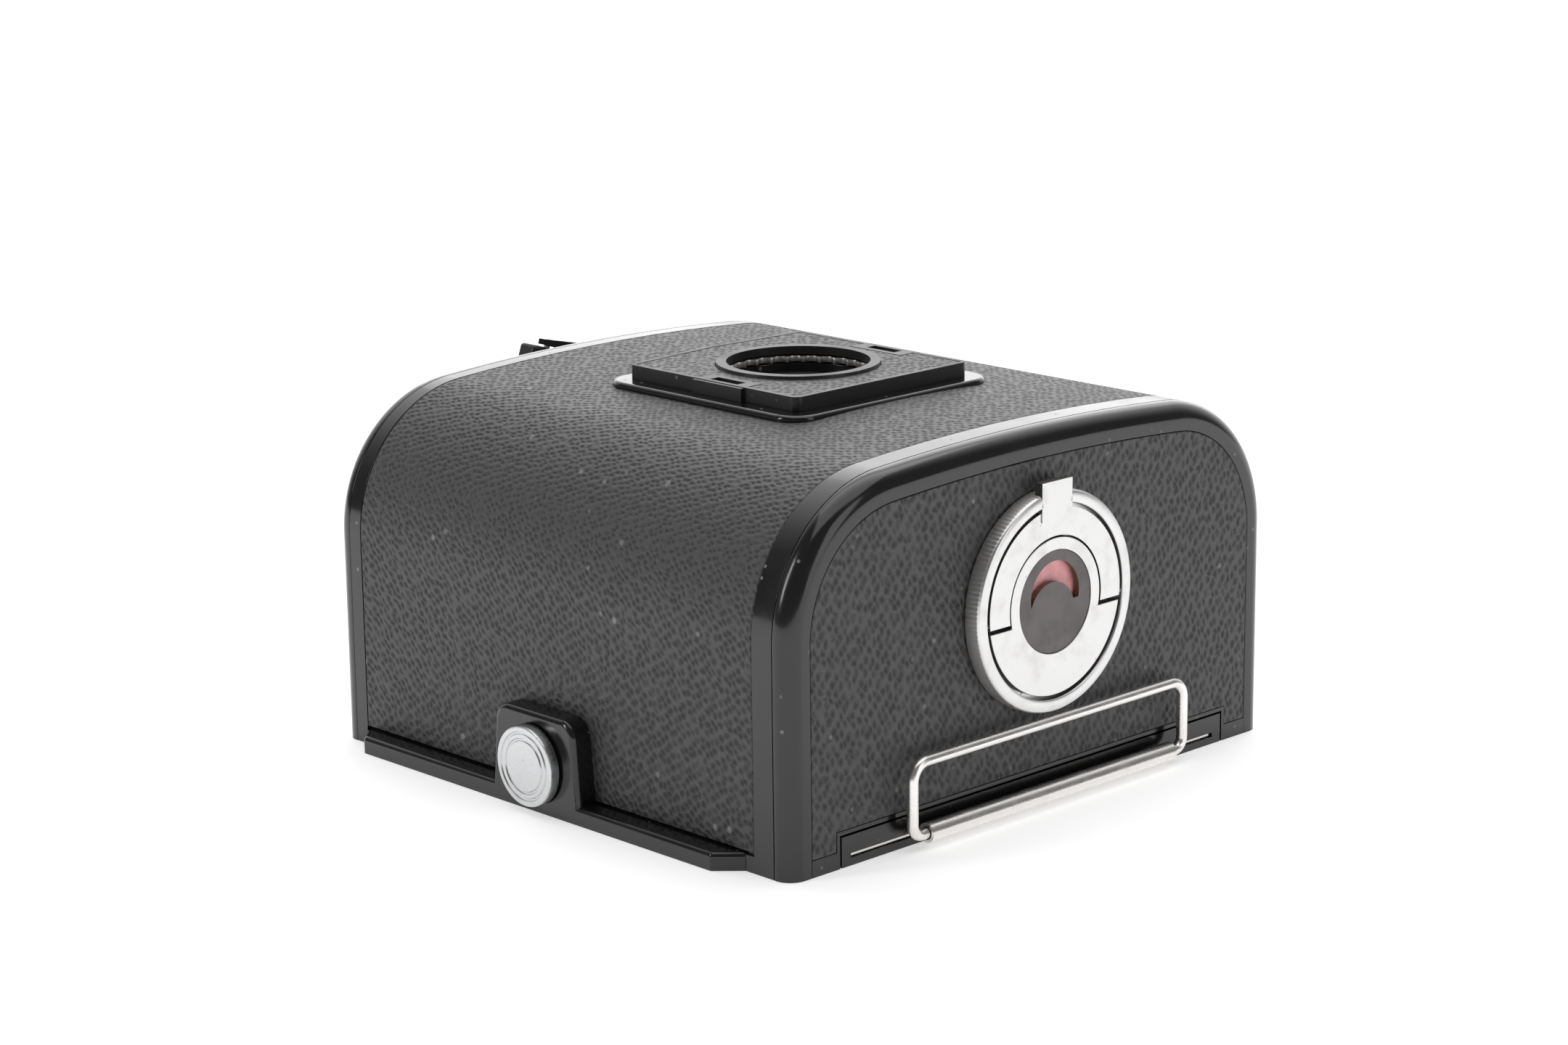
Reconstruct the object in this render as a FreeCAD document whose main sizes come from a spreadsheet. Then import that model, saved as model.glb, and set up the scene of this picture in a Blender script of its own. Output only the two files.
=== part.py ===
"""Roll film magazine for a medium format camera, as a parametric assembly.

The magazine lies on the face that meets the camera.  +Z points out of its curved back, +X
towards the film holder key and the dark slide, -Y towards the catch button.  The origin is the
centre of the film gate in the mating face.  All sizes are in millimetres.
"""

import FreeCAD, Part
import math
import os
import re

import Sketcher
from FreeCAD import Placement, Rotation, Vector

SIZES = {
    # overall
    "body_width": (89.0, "along X, over both side covers"),
    "body_length": (91.0, "along Y, over the shell"),
    "body_depth": (49.9, "mating face to crown"),
    "corner_radius": (19.5, "corners of the D profile"),
    "crown_radius": (374.0, "gentle curve of the back"),
    "shell_wall": (1.6, "shell wall"),
    "cap_width": (2.9, "insert cover, seam to face"),
    "cap_wall": (1.4, "insert and side covers, inside the rim"),
    "cap_roll": (2.5, "rolled rim of the covers"),
    "side_width": (3.0, "side cover, seam to face"),
    "key_band": (3.5, "bare shell beside the insert cover"),
    "crank_band": (2.3, "bare shell beside the side cover"),
    "leather": (0.45, "leathercloth"),
    "leather_edge": (3.8, "face leather, inside the rim"),
    "leather_low": (2.2, "lower edge of the leathercloth"),
    # front plate
    "plate_thick": (4.0, "front plate"),
    "gate_size": (56.0, "square film gate"),
    "slot_low": (1.0, "floor of the dark slide channel"),
    "slot_high": (0.6, "height of the dark slide channel"),
    "lip_half": (36.6, "half length of the slot lip"),
    "ledge_out": (3.05, "front flange beyond the shell"),
    "ledge_high": (2.4, "front flange"),
    "ledge_from": (-36.2, "front flange, crank end"),
    "ledge_to": (33.5, "front flange, key end"),
    "boss_foot": (8.8, "half width of the button boss at its foot"),
    "boss_top": (7.6, "half width of the button boss at its top"),
    "boss_high": (13.5, "height of the button boss"),
    "boss_corner": (2.5, "top corners of the button boss"),
    "boss_round": (0.8, "front edges of the button boss"),
    "ledge_round": (0.7, "outer edges of the front flange"),
    "screw_far": (-33.0, "front plate screws, crank end"),
    "screw_near": (31.0, "front plate screws, key end"),
    "screw_beside": (4.0, "front plate screws beside the dark slide"),
    # catch
    "button_radius": (5.42, "catch button"),
    "button_thick": (1.4, "catch button head"),
    "button_up": (6.5, "catch button above the mating face"),
    "stem_radius": (2.0, "catch button stem"),
    "catch_travel": (3.0, "catch slide"),
    "bar_half": (22.0, "half length of the catch bar"),
    "hook_out": (17.0, "catch hooks from the middle"),
    "hook_wide": (4.0, "catch hooks"),
    # dark slide
    "sheet_thick": (0.4, "dark slide sheet"),
    "sheet_half": (34.7, "half width of the dark slide"),
    "sheet_past": (2.5, "dark slide beyond the gate"),
    "wire_radius": (0.75, "bail wire"),
    "bail_half": (26.05, "half length of the bail, to the wire's axis"),
    "bail_high": (9.5, "bail, between wire axes"),
    "bail_top_bend": (2.4, "bend of the bail's upper corners"),
    "bail_low_bend": (1.6, "bend of the bail's lower corners"),
    "bail_out": (2.0, "wire axis beyond the cover face"),
    "tube_up": (1.95, "rolled tube's axis above the mating face"),
    "tube_radius": (1.3, "rolled tube, outside"),
    "tube_half": (23.6, "half length of the rolled tube"),
    # film insert
    "insert_inset": (4.4, "insert end plates inside the shell profile"),
    "end_plate": (1.0, "insert end plates"),
    "spool_length": (65.9, "film spool, 120 size"),
    "spool_flange": (12.6, "spool flange radius"),
    "spool_core": (5.0, "spool core radius"),
    "spool_bore": (2.9, "spool drive hole radius"),
    "spool_rim": (0.9, "spool flange thickness"),
    "spool_play": (1.0, "spool to end plate"),
    "spool_out": (21.5, "spool axis inside the shell's side"),
    "spool_deep": (19.9, "spool axis below the crown"),
    "film_gap": (0.7, "front plate to pressure plate"),
    "pad_half": (30.0, "half size of the pressure plate"),
    "pad_thick": (1.2, "pressure plate"),
    "leaf_half": (16.0, "half length of the leaf spring"),
    "leaf_wide": (7.0, "leaf spring along Y"),
    "leaf_thick": (0.3, "leaf spring"),
    "bridge_up": (10.5, "bridge behind the pressure plate"),
    "bridge_half": (6.0, "half width of the bridge"),
    "roller_radius": (2.6, "film rollers"),
    "roller_pin": (0.8, "film roller pivots"),
    "roller_side": (33.6, "film roller axis from the middle"),
    "roller_up": (8.4, "film roller axis above the mating face"),
    # film holder key
    "key_deep": (22.4, "key axis below the crown"),
    "ring_radius": (14.7, "key ring"),
    "ring_inner": (12.94, "inside of the key ring"),
    "ring_base": (0.9, "floor of the key ring"),
    "key_thick": (2.6, "key, cover face to ring face"),
    "disc_radius": (12.43, "key plate and wing"),
    "hub_radius": (8.5, "key hub"),
    "window_radius": (6.82, "key window disc"),
    "shaft_inner": (6.2, "hollow key shaft, inside"),
    "shaft_radius": (7.4, "hollow key shaft, outside"),
    "wing_thick": (1.1, "flip wing"),
    "wing_split": (1.5, "split line below the key axis"),
    "wing_gap": (0.55, "gap between wing and plate"),
    "tab_half": (2.86, "half width of the wing's tab"),
    "tab_reach": (16.0, "tab from the key axis"),
    "bolt_half": (16.0, "half length of the key bolt"),
    "bolt_thick": (1.2, "key bolt"),
    "bolt_behind": (3.0, "end of the key shaft behind the cover's seam"),
    "crescent_radius": (4.6, "indicator window, outer arc"),
    # crank and gears
    "gear_room": (5.8, "gear compartment, cover to gear plate"),
    "gear_plate_thick": (1.2, "gear plate"),
    "gear_module": (0.7, "tooth module of the film drive"),
    "gear_thick": (2.0, "film drive gears"),
    "crank_teeth": (16, "crank gear"),
    "spool_teeth": (16, "spool gear"),
    "drive_teeth": (18, "drive gear"),
    "pinion_teeth": (10, "counter pinion"),
    "dial_teeth": (44, "counter dial"),
    "dial_module": (0.5, "tooth module of the counter"),
    "crank_angle": (128.0, "crank gear seen from the spool gear, degrees"),
    "dial_angle": (168.0, "counter dial seen from the idler, degrees"),
    "drive_beside": (16.0, "drive gear axis from the spool axis, along Y"),
    "arbor_radius": (1.0, "gear arbors"),
    "crank_arm": (24.4, "crank, hub to knob"),
    "crank_tilt": (161.0, "crank arm's direction from +Y, degrees"),
    "crank_hub": (6.5, "crank hub radius"),
    "hub_thick": (2.4, "crank hub"),
    "arm_thick": (1.3, "crank arm"),
    "arm_end": (3.4, "half width of the arm at its knob"),
    "knob_high": (3.4, "knob block along X"),
    "knob_pin": (0.45, "knob pivot radius"),
    "wing_pin": (0.35, "wing pivot radius"),
    "wing_axis": (0.5, "wing axis above the wing's lower edge"),
    "spring_wire": (0.2, "catch spring wire radius"),
    "spring_radius": (0.62, "catch spring, to the wire's axis"),
    "spring_room": (8.0, "catch spring length at rest"),
    # film reminder
    "bezel_half": (19.0, "half size of the reminder bezel"),
    "bezel_corner": (4.0, "bezel corners"),
    "bezel_proud": (0.4, "bezel above the crown"),
    "bezel_deep": (2.0, "bezel thickness"),
    "frame_half": (16.3, "half size of the reminder plate"),
    "frame_corner": (1.2, "plate corners"),
    "frame_bulge": (1.2, "bow of the plate's crank edge"),
    "frame_high": (2.0, "reminder plate thickness"),
    "frame_skin": (0.75, "plate above the dial"),
    "dial_radius": (15.5, "reminder dial"),
    "dial_thick": (0.8, "reminder dial"),
    "opening_radius": (9.8, "round opening"),
    "collar_radius": (11.2, "raised collar round the opening"),
    "collar_high": (0.4, "collar above the plate"),
    "scallop_radius": (9.3, "tips of the dial's scallops"),
    "scallops": (26, "scallops of the dial"),
    "view_width": (5.3, "number windows along X"),
    "view_depth": (1.6, "number windows along Y"),
    "view_shift": (1.8, "number windows from the middle"),
    "view_pad": (4.7, "half width of the pads round the number windows"),
    "pad_out": (0.6, "pads beyond the reminder plate"),
    # fits
    "run_fit": (0.05, "radial running clearance"),
    "slide_fit": (0.3, "gap beside sliding pieces"),
    "seat_fit": (0.05, "gap beside seated pieces"),
    "screw_head": (1.6, "screw head radius"),
    "screw_shank": (0.9, "screw shank radius"),
    "pane": (0.8, "window panes"),
    # windows of the crank side
    "counter_view_y": (2.6, "half width of the counter's window"),
    "counter_view_z": (2.0, "half height of the counter's window"),
    "signal_view_y": (2.2, "half width of the signal's window"),
    "signal_view_z": (1.5, "half height of the signal's window"),
}

doc = FreeCAD.newDocument("film_magazine")
sheet = doc.addObject("Spreadsheet::Sheet", "Sizes")
for row, (alias, (number, note)) in enumerate(SIZES.items(), start=1):
    sheet.set(f"A{row}", alias)
    sheet.set(f"B{row}", str(number))
    sheet.set(f"C{row}", note)
    sheet.setAlias(f"B{row}", alias)
doc.recompute()

nodes = {}


# ---------------------------------------------------------------- formulas and placing

def formula(text):
    """The expression with each size's name pointing at its cell."""
    def cell(match):
        word = match.group(0)
        return f"Sizes.{word}" if word in SIZES else word

    return re.sub(r"[a-z_][a-z_0-9]*", cell, str(text))


def value(text):
    """The number that a formula gives."""
    return float(sheet.evalExpression(formula(text)))


def place(item, x="0", y="0", z="0"):
    """Bind an object's place to formulas."""
    for axis, text in zip("xyz", (x, y, z)):
        if str(text) != "0":
            item.setExpression(f"Placement.Base.{axis}", formula(text))
    return item


def publish(item, node):
    """Name a finished sub-part; its label names its file."""
    item.Label = node
    nodes[node] = item
    return item


# ---------------------------------------------------------------- primitives and booleans

def box(name, x, y, z):
    """A box between pairs of formulas."""
    item = doc.addObject("Part::Box", name)
    for side, (low, high) in zip(("Length", "Width", "Height"), (x, y, z)):
        item.setExpression(side, formula(f"({high})-({low})"))
    return place(item, x[0], y[0], z[0])


TURN = {
    "X": Rotation(Vector(0, 1, 0), 90),
    "Y": Rotation(Vector(1, 0, 0), -90),
    "Z": Rotation(),
}


def rod(name, axis, radius, span, centre=("0", "0")):
    """A cylinder along an axis, from span[0] to span[1], about the other two coordinates."""
    item = doc.addObject("Part::Cylinder", name)
    item.Placement = Placement(Vector(), TURN[axis])
    item.setExpression("Radius", formula(radius))
    item.setExpression("Height", formula(f"({span[1]})-({span[0]})"))
    u, v = centre
    spots = {"X": (span[0], u, v), "Y": (u, span[0], v), "Z": (u, v, span[0])}
    return place(item, *spots[axis])


def fuse(name, *items):
    """One solid from several."""
    item = doc.addObject("Part::MultiFuse", name)
    item.Shapes = list(items)
    item.Refine = True
    return item


def gather(name, *items):
    """Several separate solids as one object."""
    item = doc.addObject("Part::Compound", name)
    item.Links = list(items)
    return item


def cut(name, base, *tools):
    """The base without the tools."""
    item = doc.addObject("Part::Cut", name)
    item.Base = base
    item.Tool = tools[0] if len(tools) == 1 else gather(name + "_tools", *tools)
    item.Refine = True
    return item


def common(name, base, tool):
    """What two solids share."""
    item = doc.addObject("Part::Common", name)
    item.Base = base
    item.Tool = tool
    return item


def rounded(name, base, radius, choose):
    """The base with the chosen edges rounded."""
    doc.recompute()
    item = doc.addObject("Part::Fillet", name)
    item.Base = base
    size = value(radius)
    item.Edges = [
        (number, size, size)
        for number, edge in enumerate(base.Shape.Edges, start=1)
        if choose(edge)
    ]
    return item


def upright(edge):
    """Whether an edge is a straight one along Z."""
    ends = [vertex.Point for vertex in edge.Vertexes]
    return len(ends) == 2 and abs(ends[0].z - ends[1].z) > 0.2 and (
        math.hypot(ends[0].x - ends[1].x, ends[0].y - ends[1].y) < 1e-4
    )


# ---------------------------------------------------------------- sketched bodies

def new_body(name):
    """An empty body."""
    return doc.addObject("PartDesign::Body", name)


def new_sketch(body, name, plane, lift="0"):
    """A sketch on one of the body's own origin planes, lifted along its normal."""
    sketch = body.newObject("Sketcher::SketchObject", name)
    support = next(f for f in body.Origin.OriginFeatures if f.Role == plane)
    sketch.AttachmentSupport = [(support, "")]
    sketch.MapMode = "FlatFace"
    if str(lift) != "0":
        sketch.setExpression("AttachmentOffset.Base.z", formula(lift))
    return sketch


def pin(sketch, piece, point, u, v):
    """Hold a point of the sketch at two formulas."""
    for kind, axis, text in (("DistanceX", -2, u), ("DistanceY", -1, v)):
        if abs(value(text)) < 1e-9:
            sketch.addConstraint(Sketcher.Constraint("PointOnObject", piece, point, axis))
            continue
        rule = Sketcher.Constraint(kind, -1, 1, piece, point, value(text))
        number = sketch.addConstraint(rule)
        sketch.setExpression(f"Constraints[{number}]", formula(text))


def outline(sketch, points):
    """A closed outline of straight lines between pinned corners."""
    corners = [Vector(value(u), value(v), 0) for u, v in points]
    for start, end in zip(corners, corners[1:] + corners[:1]):
        sketch.addGeometry(Part.LineSegment(start, end), False)
    last = len(points)
    for side in range(last):
        sketch.addConstraint(
            Sketcher.Constraint("Coincident", side, 2, (side + 1) % last, 1)
        )
    for side, (u, v) in enumerate(points):
        pin(sketch, side, 1, u, v)
    return sketch


def pad(body, sketch, depth):
    """Thicken a sketch along its normal."""
    item = body.newObject("PartDesign::Pad", sketch.Name + "_pad")
    item.Profile = sketch
    item.setExpression("Length", formula(depth))
    return item


def prism(name, plane, points, low, depth):
    """A body: a straight-sided outline, padded."""
    body = new_body(name)
    sketch = outline(new_sketch(body, name + "_outline", plane, low), points)
    pad(body, sketch, depth)
    return body


TURNING = {
    "X": ("XY_Plane", "H_Axis", False),
    "Y": ("XY_Plane", "V_Axis", True),
    "Z": ("XZ_Plane", "V_Axis", True),
}


def turned(name, axis, points):
    """A body turned about an axis from corners given as (along, radius)."""
    plane, line, swap = TURNING[axis]
    body = new_body(name)
    corners = [(r, along) if swap else (along, r) for along, r in points]
    sketch = outline(new_sketch(body, name + "_section", plane), corners)
    item = body.newObject("PartDesign::Revolution", name + "_turning")
    item.Profile = sketch
    item.ReferenceAxis = (sketch, [line])
    item.Angle = 360.0
    return body


def profile(name, low, high, inset="0", floor="0", roll=None):
    """The magazine's D profile, set in all round, between two X planes.

    roll names the radius of the rim along the end that lies further from the middle.
    """
    body = new_body(name)
    sketch = new_sketch(body, name + "_outline", "YZ_Plane", low)
    side = value(f"body_length/2-({inset})")
    corner = value(f"corner_radius-({inset})")
    crown = value(f"crown_radius-({inset})")
    centre = Vector(0, value("body_depth-crown_radius"), 0)
    across = side - corner
    rise = math.sqrt((crown - corner) ** 2 - across**2)
    lean = math.atan2(across, rise)
    foot = value(floor)
    shoulder = centre.y + rise
    up = math.pi / 2

    def arc(x, y, radius, start, end):
        circle = Part.Circle(Vector(x, y, 0), Vector(0, 0, 1), radius)
        sketch.addGeometry(Part.ArcOfCircle(circle, start, end), False)

    sketch.addGeometry(Part.LineSegment(Vector(side, foot, 0), Vector(side, shoulder, 0)), False)
    arc(across, shoulder, corner, 0.0, up - lean)
    arc(0, centre.y, crown, up - lean, up + lean)
    arc(-across, shoulder, corner, up + lean, math.pi)
    sketch.addGeometry(Part.LineSegment(Vector(-side, shoulder, 0), Vector(-side, foot, 0)), False)
    sketch.addGeometry(Part.LineSegment(Vector(-side, foot, 0), Vector(side, foot, 0)), False)
    rules = [
        ("Tangent", 0, 2, 1, 1),
        ("Tangent", 1, 2, 2, 1),
        ("Tangent", 2, 2, 3, 1),
        ("Tangent", 3, 2, 4, 1),
        ("Coincident", 4, 2, 5, 1),
        ("Coincident", 5, 2, 0, 1),
        ("Vertical", 0),
        ("Vertical", 4),
        ("Equal", 1, 3),
        ("Symmetric", 0, 1, 4, 2, -2),
    ]
    for rule in rules:
        sketch.addConstraint(Sketcher.Constraint(*rule))
    for arc_number, radius in ((1, f"corner_radius-({inset})"), (2, f"crown_radius-({inset})")):
        number = sketch.addConstraint(Sketcher.Constraint("Radius", arc_number, value(radius)))
        sketch.setExpression(f"Constraints[{number}]", formula(radius))
    pin(sketch, 2, 3, "0", "body_depth-crown_radius")
    pin(sketch, 0, 1, f"body_length/2-({inset})", floor)
    top = pad(body, sketch, f"({high})-({low})")
    if roll:
        doc.recompute()
        ends = (value(low), value(high))
        outer = max(ends, key=abs)
        names = []
        for number, edge in enumerate(top.Shape.Edges, start=1):
            points = [vertex.Point for vertex in edge.Vertexes]
            on_end = all(abs(point.x - outer) < 1e-4 for point in points)
            on_floor = all(abs(point.z - foot) < 1e-4 for point in points)
            if on_end and not on_floor:
                names.append(f"Edge{number}")
        rim = body.newObject("PartDesign::Fillet", name + "_rim")
        rim.Base = (top, names)
        rim.setExpression("Radius", formula(roll))
    return body


# ---------------------------------------------------------------- places used more than once

FACE = "body_width/2"
SEAM = "(body_width/2-cap_width)"
COVER_SEAM = "(side_width-body_width/2)"
SIDE = "body_length/2"
INNER_SIDE = "(body_length/2-shell_wall)"
SPOOL_Y = "(body_length/2-spool_out)"
SPOOL_Z = "(body_depth-spool_deep)"
KEY_Z = "(body_depth-key_deep)"
COVER_INSIDE = "(cap_wall-body_width/2)"
GEAR_PLATE = "(cap_wall-body_width/2+gear_room)"
FAR_PLATE = "(0-spool_length/2-spool_play-end_plate)"
NEAR_PLATE = "(spool_length/2+spool_play)"
LIP_TOP = "plate_thick"
BEZEL_TOP = "(body_depth+bezel_proud)"
FRAME_TOP = "(body_depth+bezel_proud+frame_high)"
TUBE_X = "(body_width/2+bail_out)"
GATE = "gate_size/2"


# ---------------------------------------------------------------- shell and covers

def make_shell():
    """The wrap round shell: a D tube with sunk leathercloth, open at both sides and in front."""
    outside = profile("shell_outside", COVER_SEAM, SEAM)
    inside = profile(
        "shell_inside", f"{COVER_SEAM}-1", f"{SEAM}+1", "shell_wall", "-1"
    )
    sunk_out = profile(
        "sunk_outside", f"{COVER_SEAM}+crank_band", f"{SEAM}-key_band", "-1", "leather_low"
    )
    sunk_in = profile(
        "sunk_inside", f"{COVER_SEAM}+crank_band-1", f"{SEAM}-key_band+1", "leather", "-2"
    )
    sunk = cut("sunk_band", sunk_out, sunk_in)
    tube = cut(
        "shell_cut",
        outside,
        inside,
        sunk,
        ledge("shell_ledge_room", "seat_fit"),
        boss("shell_boss_room", "seat_fit", "1"),
        bezel_block("shell_bezel_room", "seat_fit", "-2", "4"),
    )
    publish(tube, "housing_shell")

    cloth_out = profile(
        "cloth_outside",
        f"{COVER_SEAM}+crank_band+seat_fit",
        f"{SEAM}-key_band-seat_fit",
        "seat_fit",
        "leather_low+seat_fit",
    )
    cloth_in = profile(
        "cloth_inside", f"{COVER_SEAM}", f"{SEAM}", "leather", "-2"
    )
    cloth = cut(
        "cloth_cut",
        cloth_out,
        cloth_in,
        ledge("cloth_ledge_room", "slide_fit"),
        boss("cloth_boss_room", "slide_fit", "1"),
        bezel_block("cloth_bezel_room", "slide_fit", "-2", "4"),
    )
    publish(cloth, "wrap_leather")


def make_covers():
    """The two side covers, each a dished cap with a rolled rim and a leathercloth inlay."""
    lip = "lip_half+slide_fit"
    key_bore = rod(
        "key_bore", "X", "shaft_radius+run_fit", (f"{SEAM}-1", f"{FACE}+1"), ("0", KEY_Z)
    )
    insert_cap = cut(
        "insert_cap",
        profile("insert_cap_outside", SEAM, FACE, "0", "0", "cap_roll"),
        profile("insert_cap_dish", f"{SEAM}-1", f"{FACE}-cap_wall", "shell_wall+0.3",
                "plate_thick+slide_fit+1"),
        cut(
            "insert_cap_inlay",
            profile("insert_cap_sunk", f"{FACE}-leather", f"{FACE}+1", "leather_edge",
                    "leather_low"),
            box("insert_cap_lip", (f"{FACE}-2", f"{FACE}+2"), (f"-({lip})-0.5", f"{lip}+0.5"),
                ("-1", "plate_thick+slide_fit+0.5")),
        ),
        box("insert_cap_notch", (f"{SEAM}-1", f"{FACE}+1"), (f"-({lip})", lip),
            ("-1", f"{LIP_TOP}+slide_fit")),
        key_bore,
    )
    publish(insert_cap, "insert_cover")
    inlay = cut(
        "insert_inlay",
        profile("insert_inlay_outside", f"{FACE}-leather", FACE, "leather_edge+seat_fit",
                "leather_low+seat_fit"),
        box("insert_inlay_lip", (f"{FACE}-2", f"{FACE}+2"),
            (f"-({lip})-0.5-seat_fit", f"{lip}+0.5+seat_fit"),
            ("-1", "plate_thick+slide_fit+0.5+seat_fit")),
        rod("insert_inlay_hole", "X", "shaft_radius+slide_fit", (f"{FACE}-2", f"{FACE}+2"),
            ("0", KEY_Z)),
    )
    publish(inlay, "insert_leather")

    windows = [
        side_window("cover", "counter", "-1", "cap_wall+1", "0"),
        side_window("cover", "signal", "-1", "cap_wall+1", "0"),
    ]
    crank_y, crank_z = gear_spots()["crank"]
    shaft_hole = rod("cover_shaft_hole", "X", "arbor_radius+1.2+seat_fit",
                     ("0-body_width/2-1", "0"), (crank_y, crank_z))
    side_cap = cut(
        "side_cap",
        profile("side_cap_outside", f"-{FACE}", COVER_SEAM, "0", "0", "cap_roll"),
        profile("side_cap_dish", COVER_INSIDE, f"{COVER_SEAM}+1", "shell_wall+0.3",
                "plate_thick+0.3"),
        profile("side_cap_sunk", f"-{FACE}-1", f"leather-{FACE}", "leather_edge", "leather_low"),
        shaft_hole,
        *windows,
    )
    publish(side_cap, "side_cover")
    side_inlay = cut(
        "side_inlay",
        profile("side_inlay_outside", f"-{FACE}", f"leather-{FACE}", "leather_edge+seat_fit",
                "leather_low+seat_fit"),
        rod("inlay_shaft_hole", "X", "arbor_radius+2.2", ("0-body_width/2-1", "0"),
            (crank_y, crank_z)),
        side_window("inlay", "counter", "-1", "1", "slide_fit"),
        side_window("inlay", "signal", "-1", "1", "slide_fit"),
    )
    publish(side_inlay, "side_cover_leather")
    publish(side_window("pane", "counter", "leather*0.5", "pane-1", "0-seat_fit"),
            "counter_window")
    publish(side_window("pane", "signal", "leather*0.5", "pane-1", "0-seat_fit"),
            "signal_window")


def side_window(use, which, start, depth, grow):
    """The counter's or the signal's window in the crank side, or its pane."""
    centre_y, centre_z = window_spots()[which]
    half_y, half_z = f"{which}_view_y", f"{which}_view_z"
    return box(
        f"{use}_{which}",
        (f"{start}-body_width/2", f"{start}-body_width/2+({depth})+1"),
        (f"{centre_y}-{half_y}-({grow})", f"{centre_y}+{half_y}+({grow})"),
        (f"{centre_z}-{half_z}-({grow})", f"{centre_z}+{half_z}+({grow})"),
    )


# ---------------------------------------------------------------- front plate and catch

def ledge(name, grow="0"):
    """The flange along the catch side of the front plate, with slanted ends."""
    inner = f"0-{SIDE}+shell_wall+0.5"
    outer = f"0-{SIDE}-ledge_out-({grow})"
    points = [
        (f"ledge_from-ledge_out-({grow})", inner),
        (f"ledge_from-ledge_out-({grow})", f"0-{SIDE}"),
        (f"ledge_from-({grow})", outer),
        (f"ledge_to+({grow})", outer),
        (f"ledge_to+ledge_out+({grow})", f"0-{SIDE}"),
        (f"ledge_to+ledge_out+({grow})", inner),
    ]
    return prism(name, "XY_Plane", points, "0", f"ledge_high+({grow})")


def boss(name, grow="0", inward="0"):
    """The raised block round the catch button, or the room for it through the wall."""
    points = [
        (f"0-boss_foot-({grow})", "0"),
        (f"boss_foot+({grow})", "0"),
        (f"boss_top+({grow})", f"boss_high+({grow})"),
        (f"0-boss_top-({grow})", f"boss_high+({grow})"),
    ]
    block = prism(name + "_block", "XZ_Plane", points, f"{SIDE}-shell_wall-({inward})",
                  f"ledge_out+shell_wall+({inward})+({grow})")

    def top_corner(edge):
        ends = [vertex.Point for vertex in edge.Vertexes]
        return len(ends) == 2 and all(p.z > value("boss_high") - 0.01 for p in ends) and (
            abs(ends[0].y - ends[1].y) > 1
        )

    return rounded(name, block, f"boss_corner+({grow})", top_corner)


def soft_ledge():
    """The flange with its outer edges rounded."""
    high, side = value("ledge_high"), value(SIDE)

    def outer(edge):
        points = [vertex.Point for vertex in edge.Vertexes]
        over = all(point.z > high - 0.01 for point in points)
        corner = all(point.y < -side - 1 for point in points)
        return (over or corner) and all(point.y < -side + 0.01 for point in points) and (
            not all(point.z < 0.01 for point in points)
        )

    return rounded("plate_flange", ledge("plate_ledge"), "ledge_round", outer)


def soft_boss():
    """The button boss with its front edges rounded."""
    face = value(f"{SIDE}+ledge_out")

    def front(edge):
        points = [vertex.Point for vertex in edge.Vertexes]
        return all(point.y < -face + 0.01 for point in points) and (
            any(point.z > 1 for point in points)
        )

    return rounded("plate_boss_soft", boss("plate_boss"), "boss_round", front)


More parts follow.
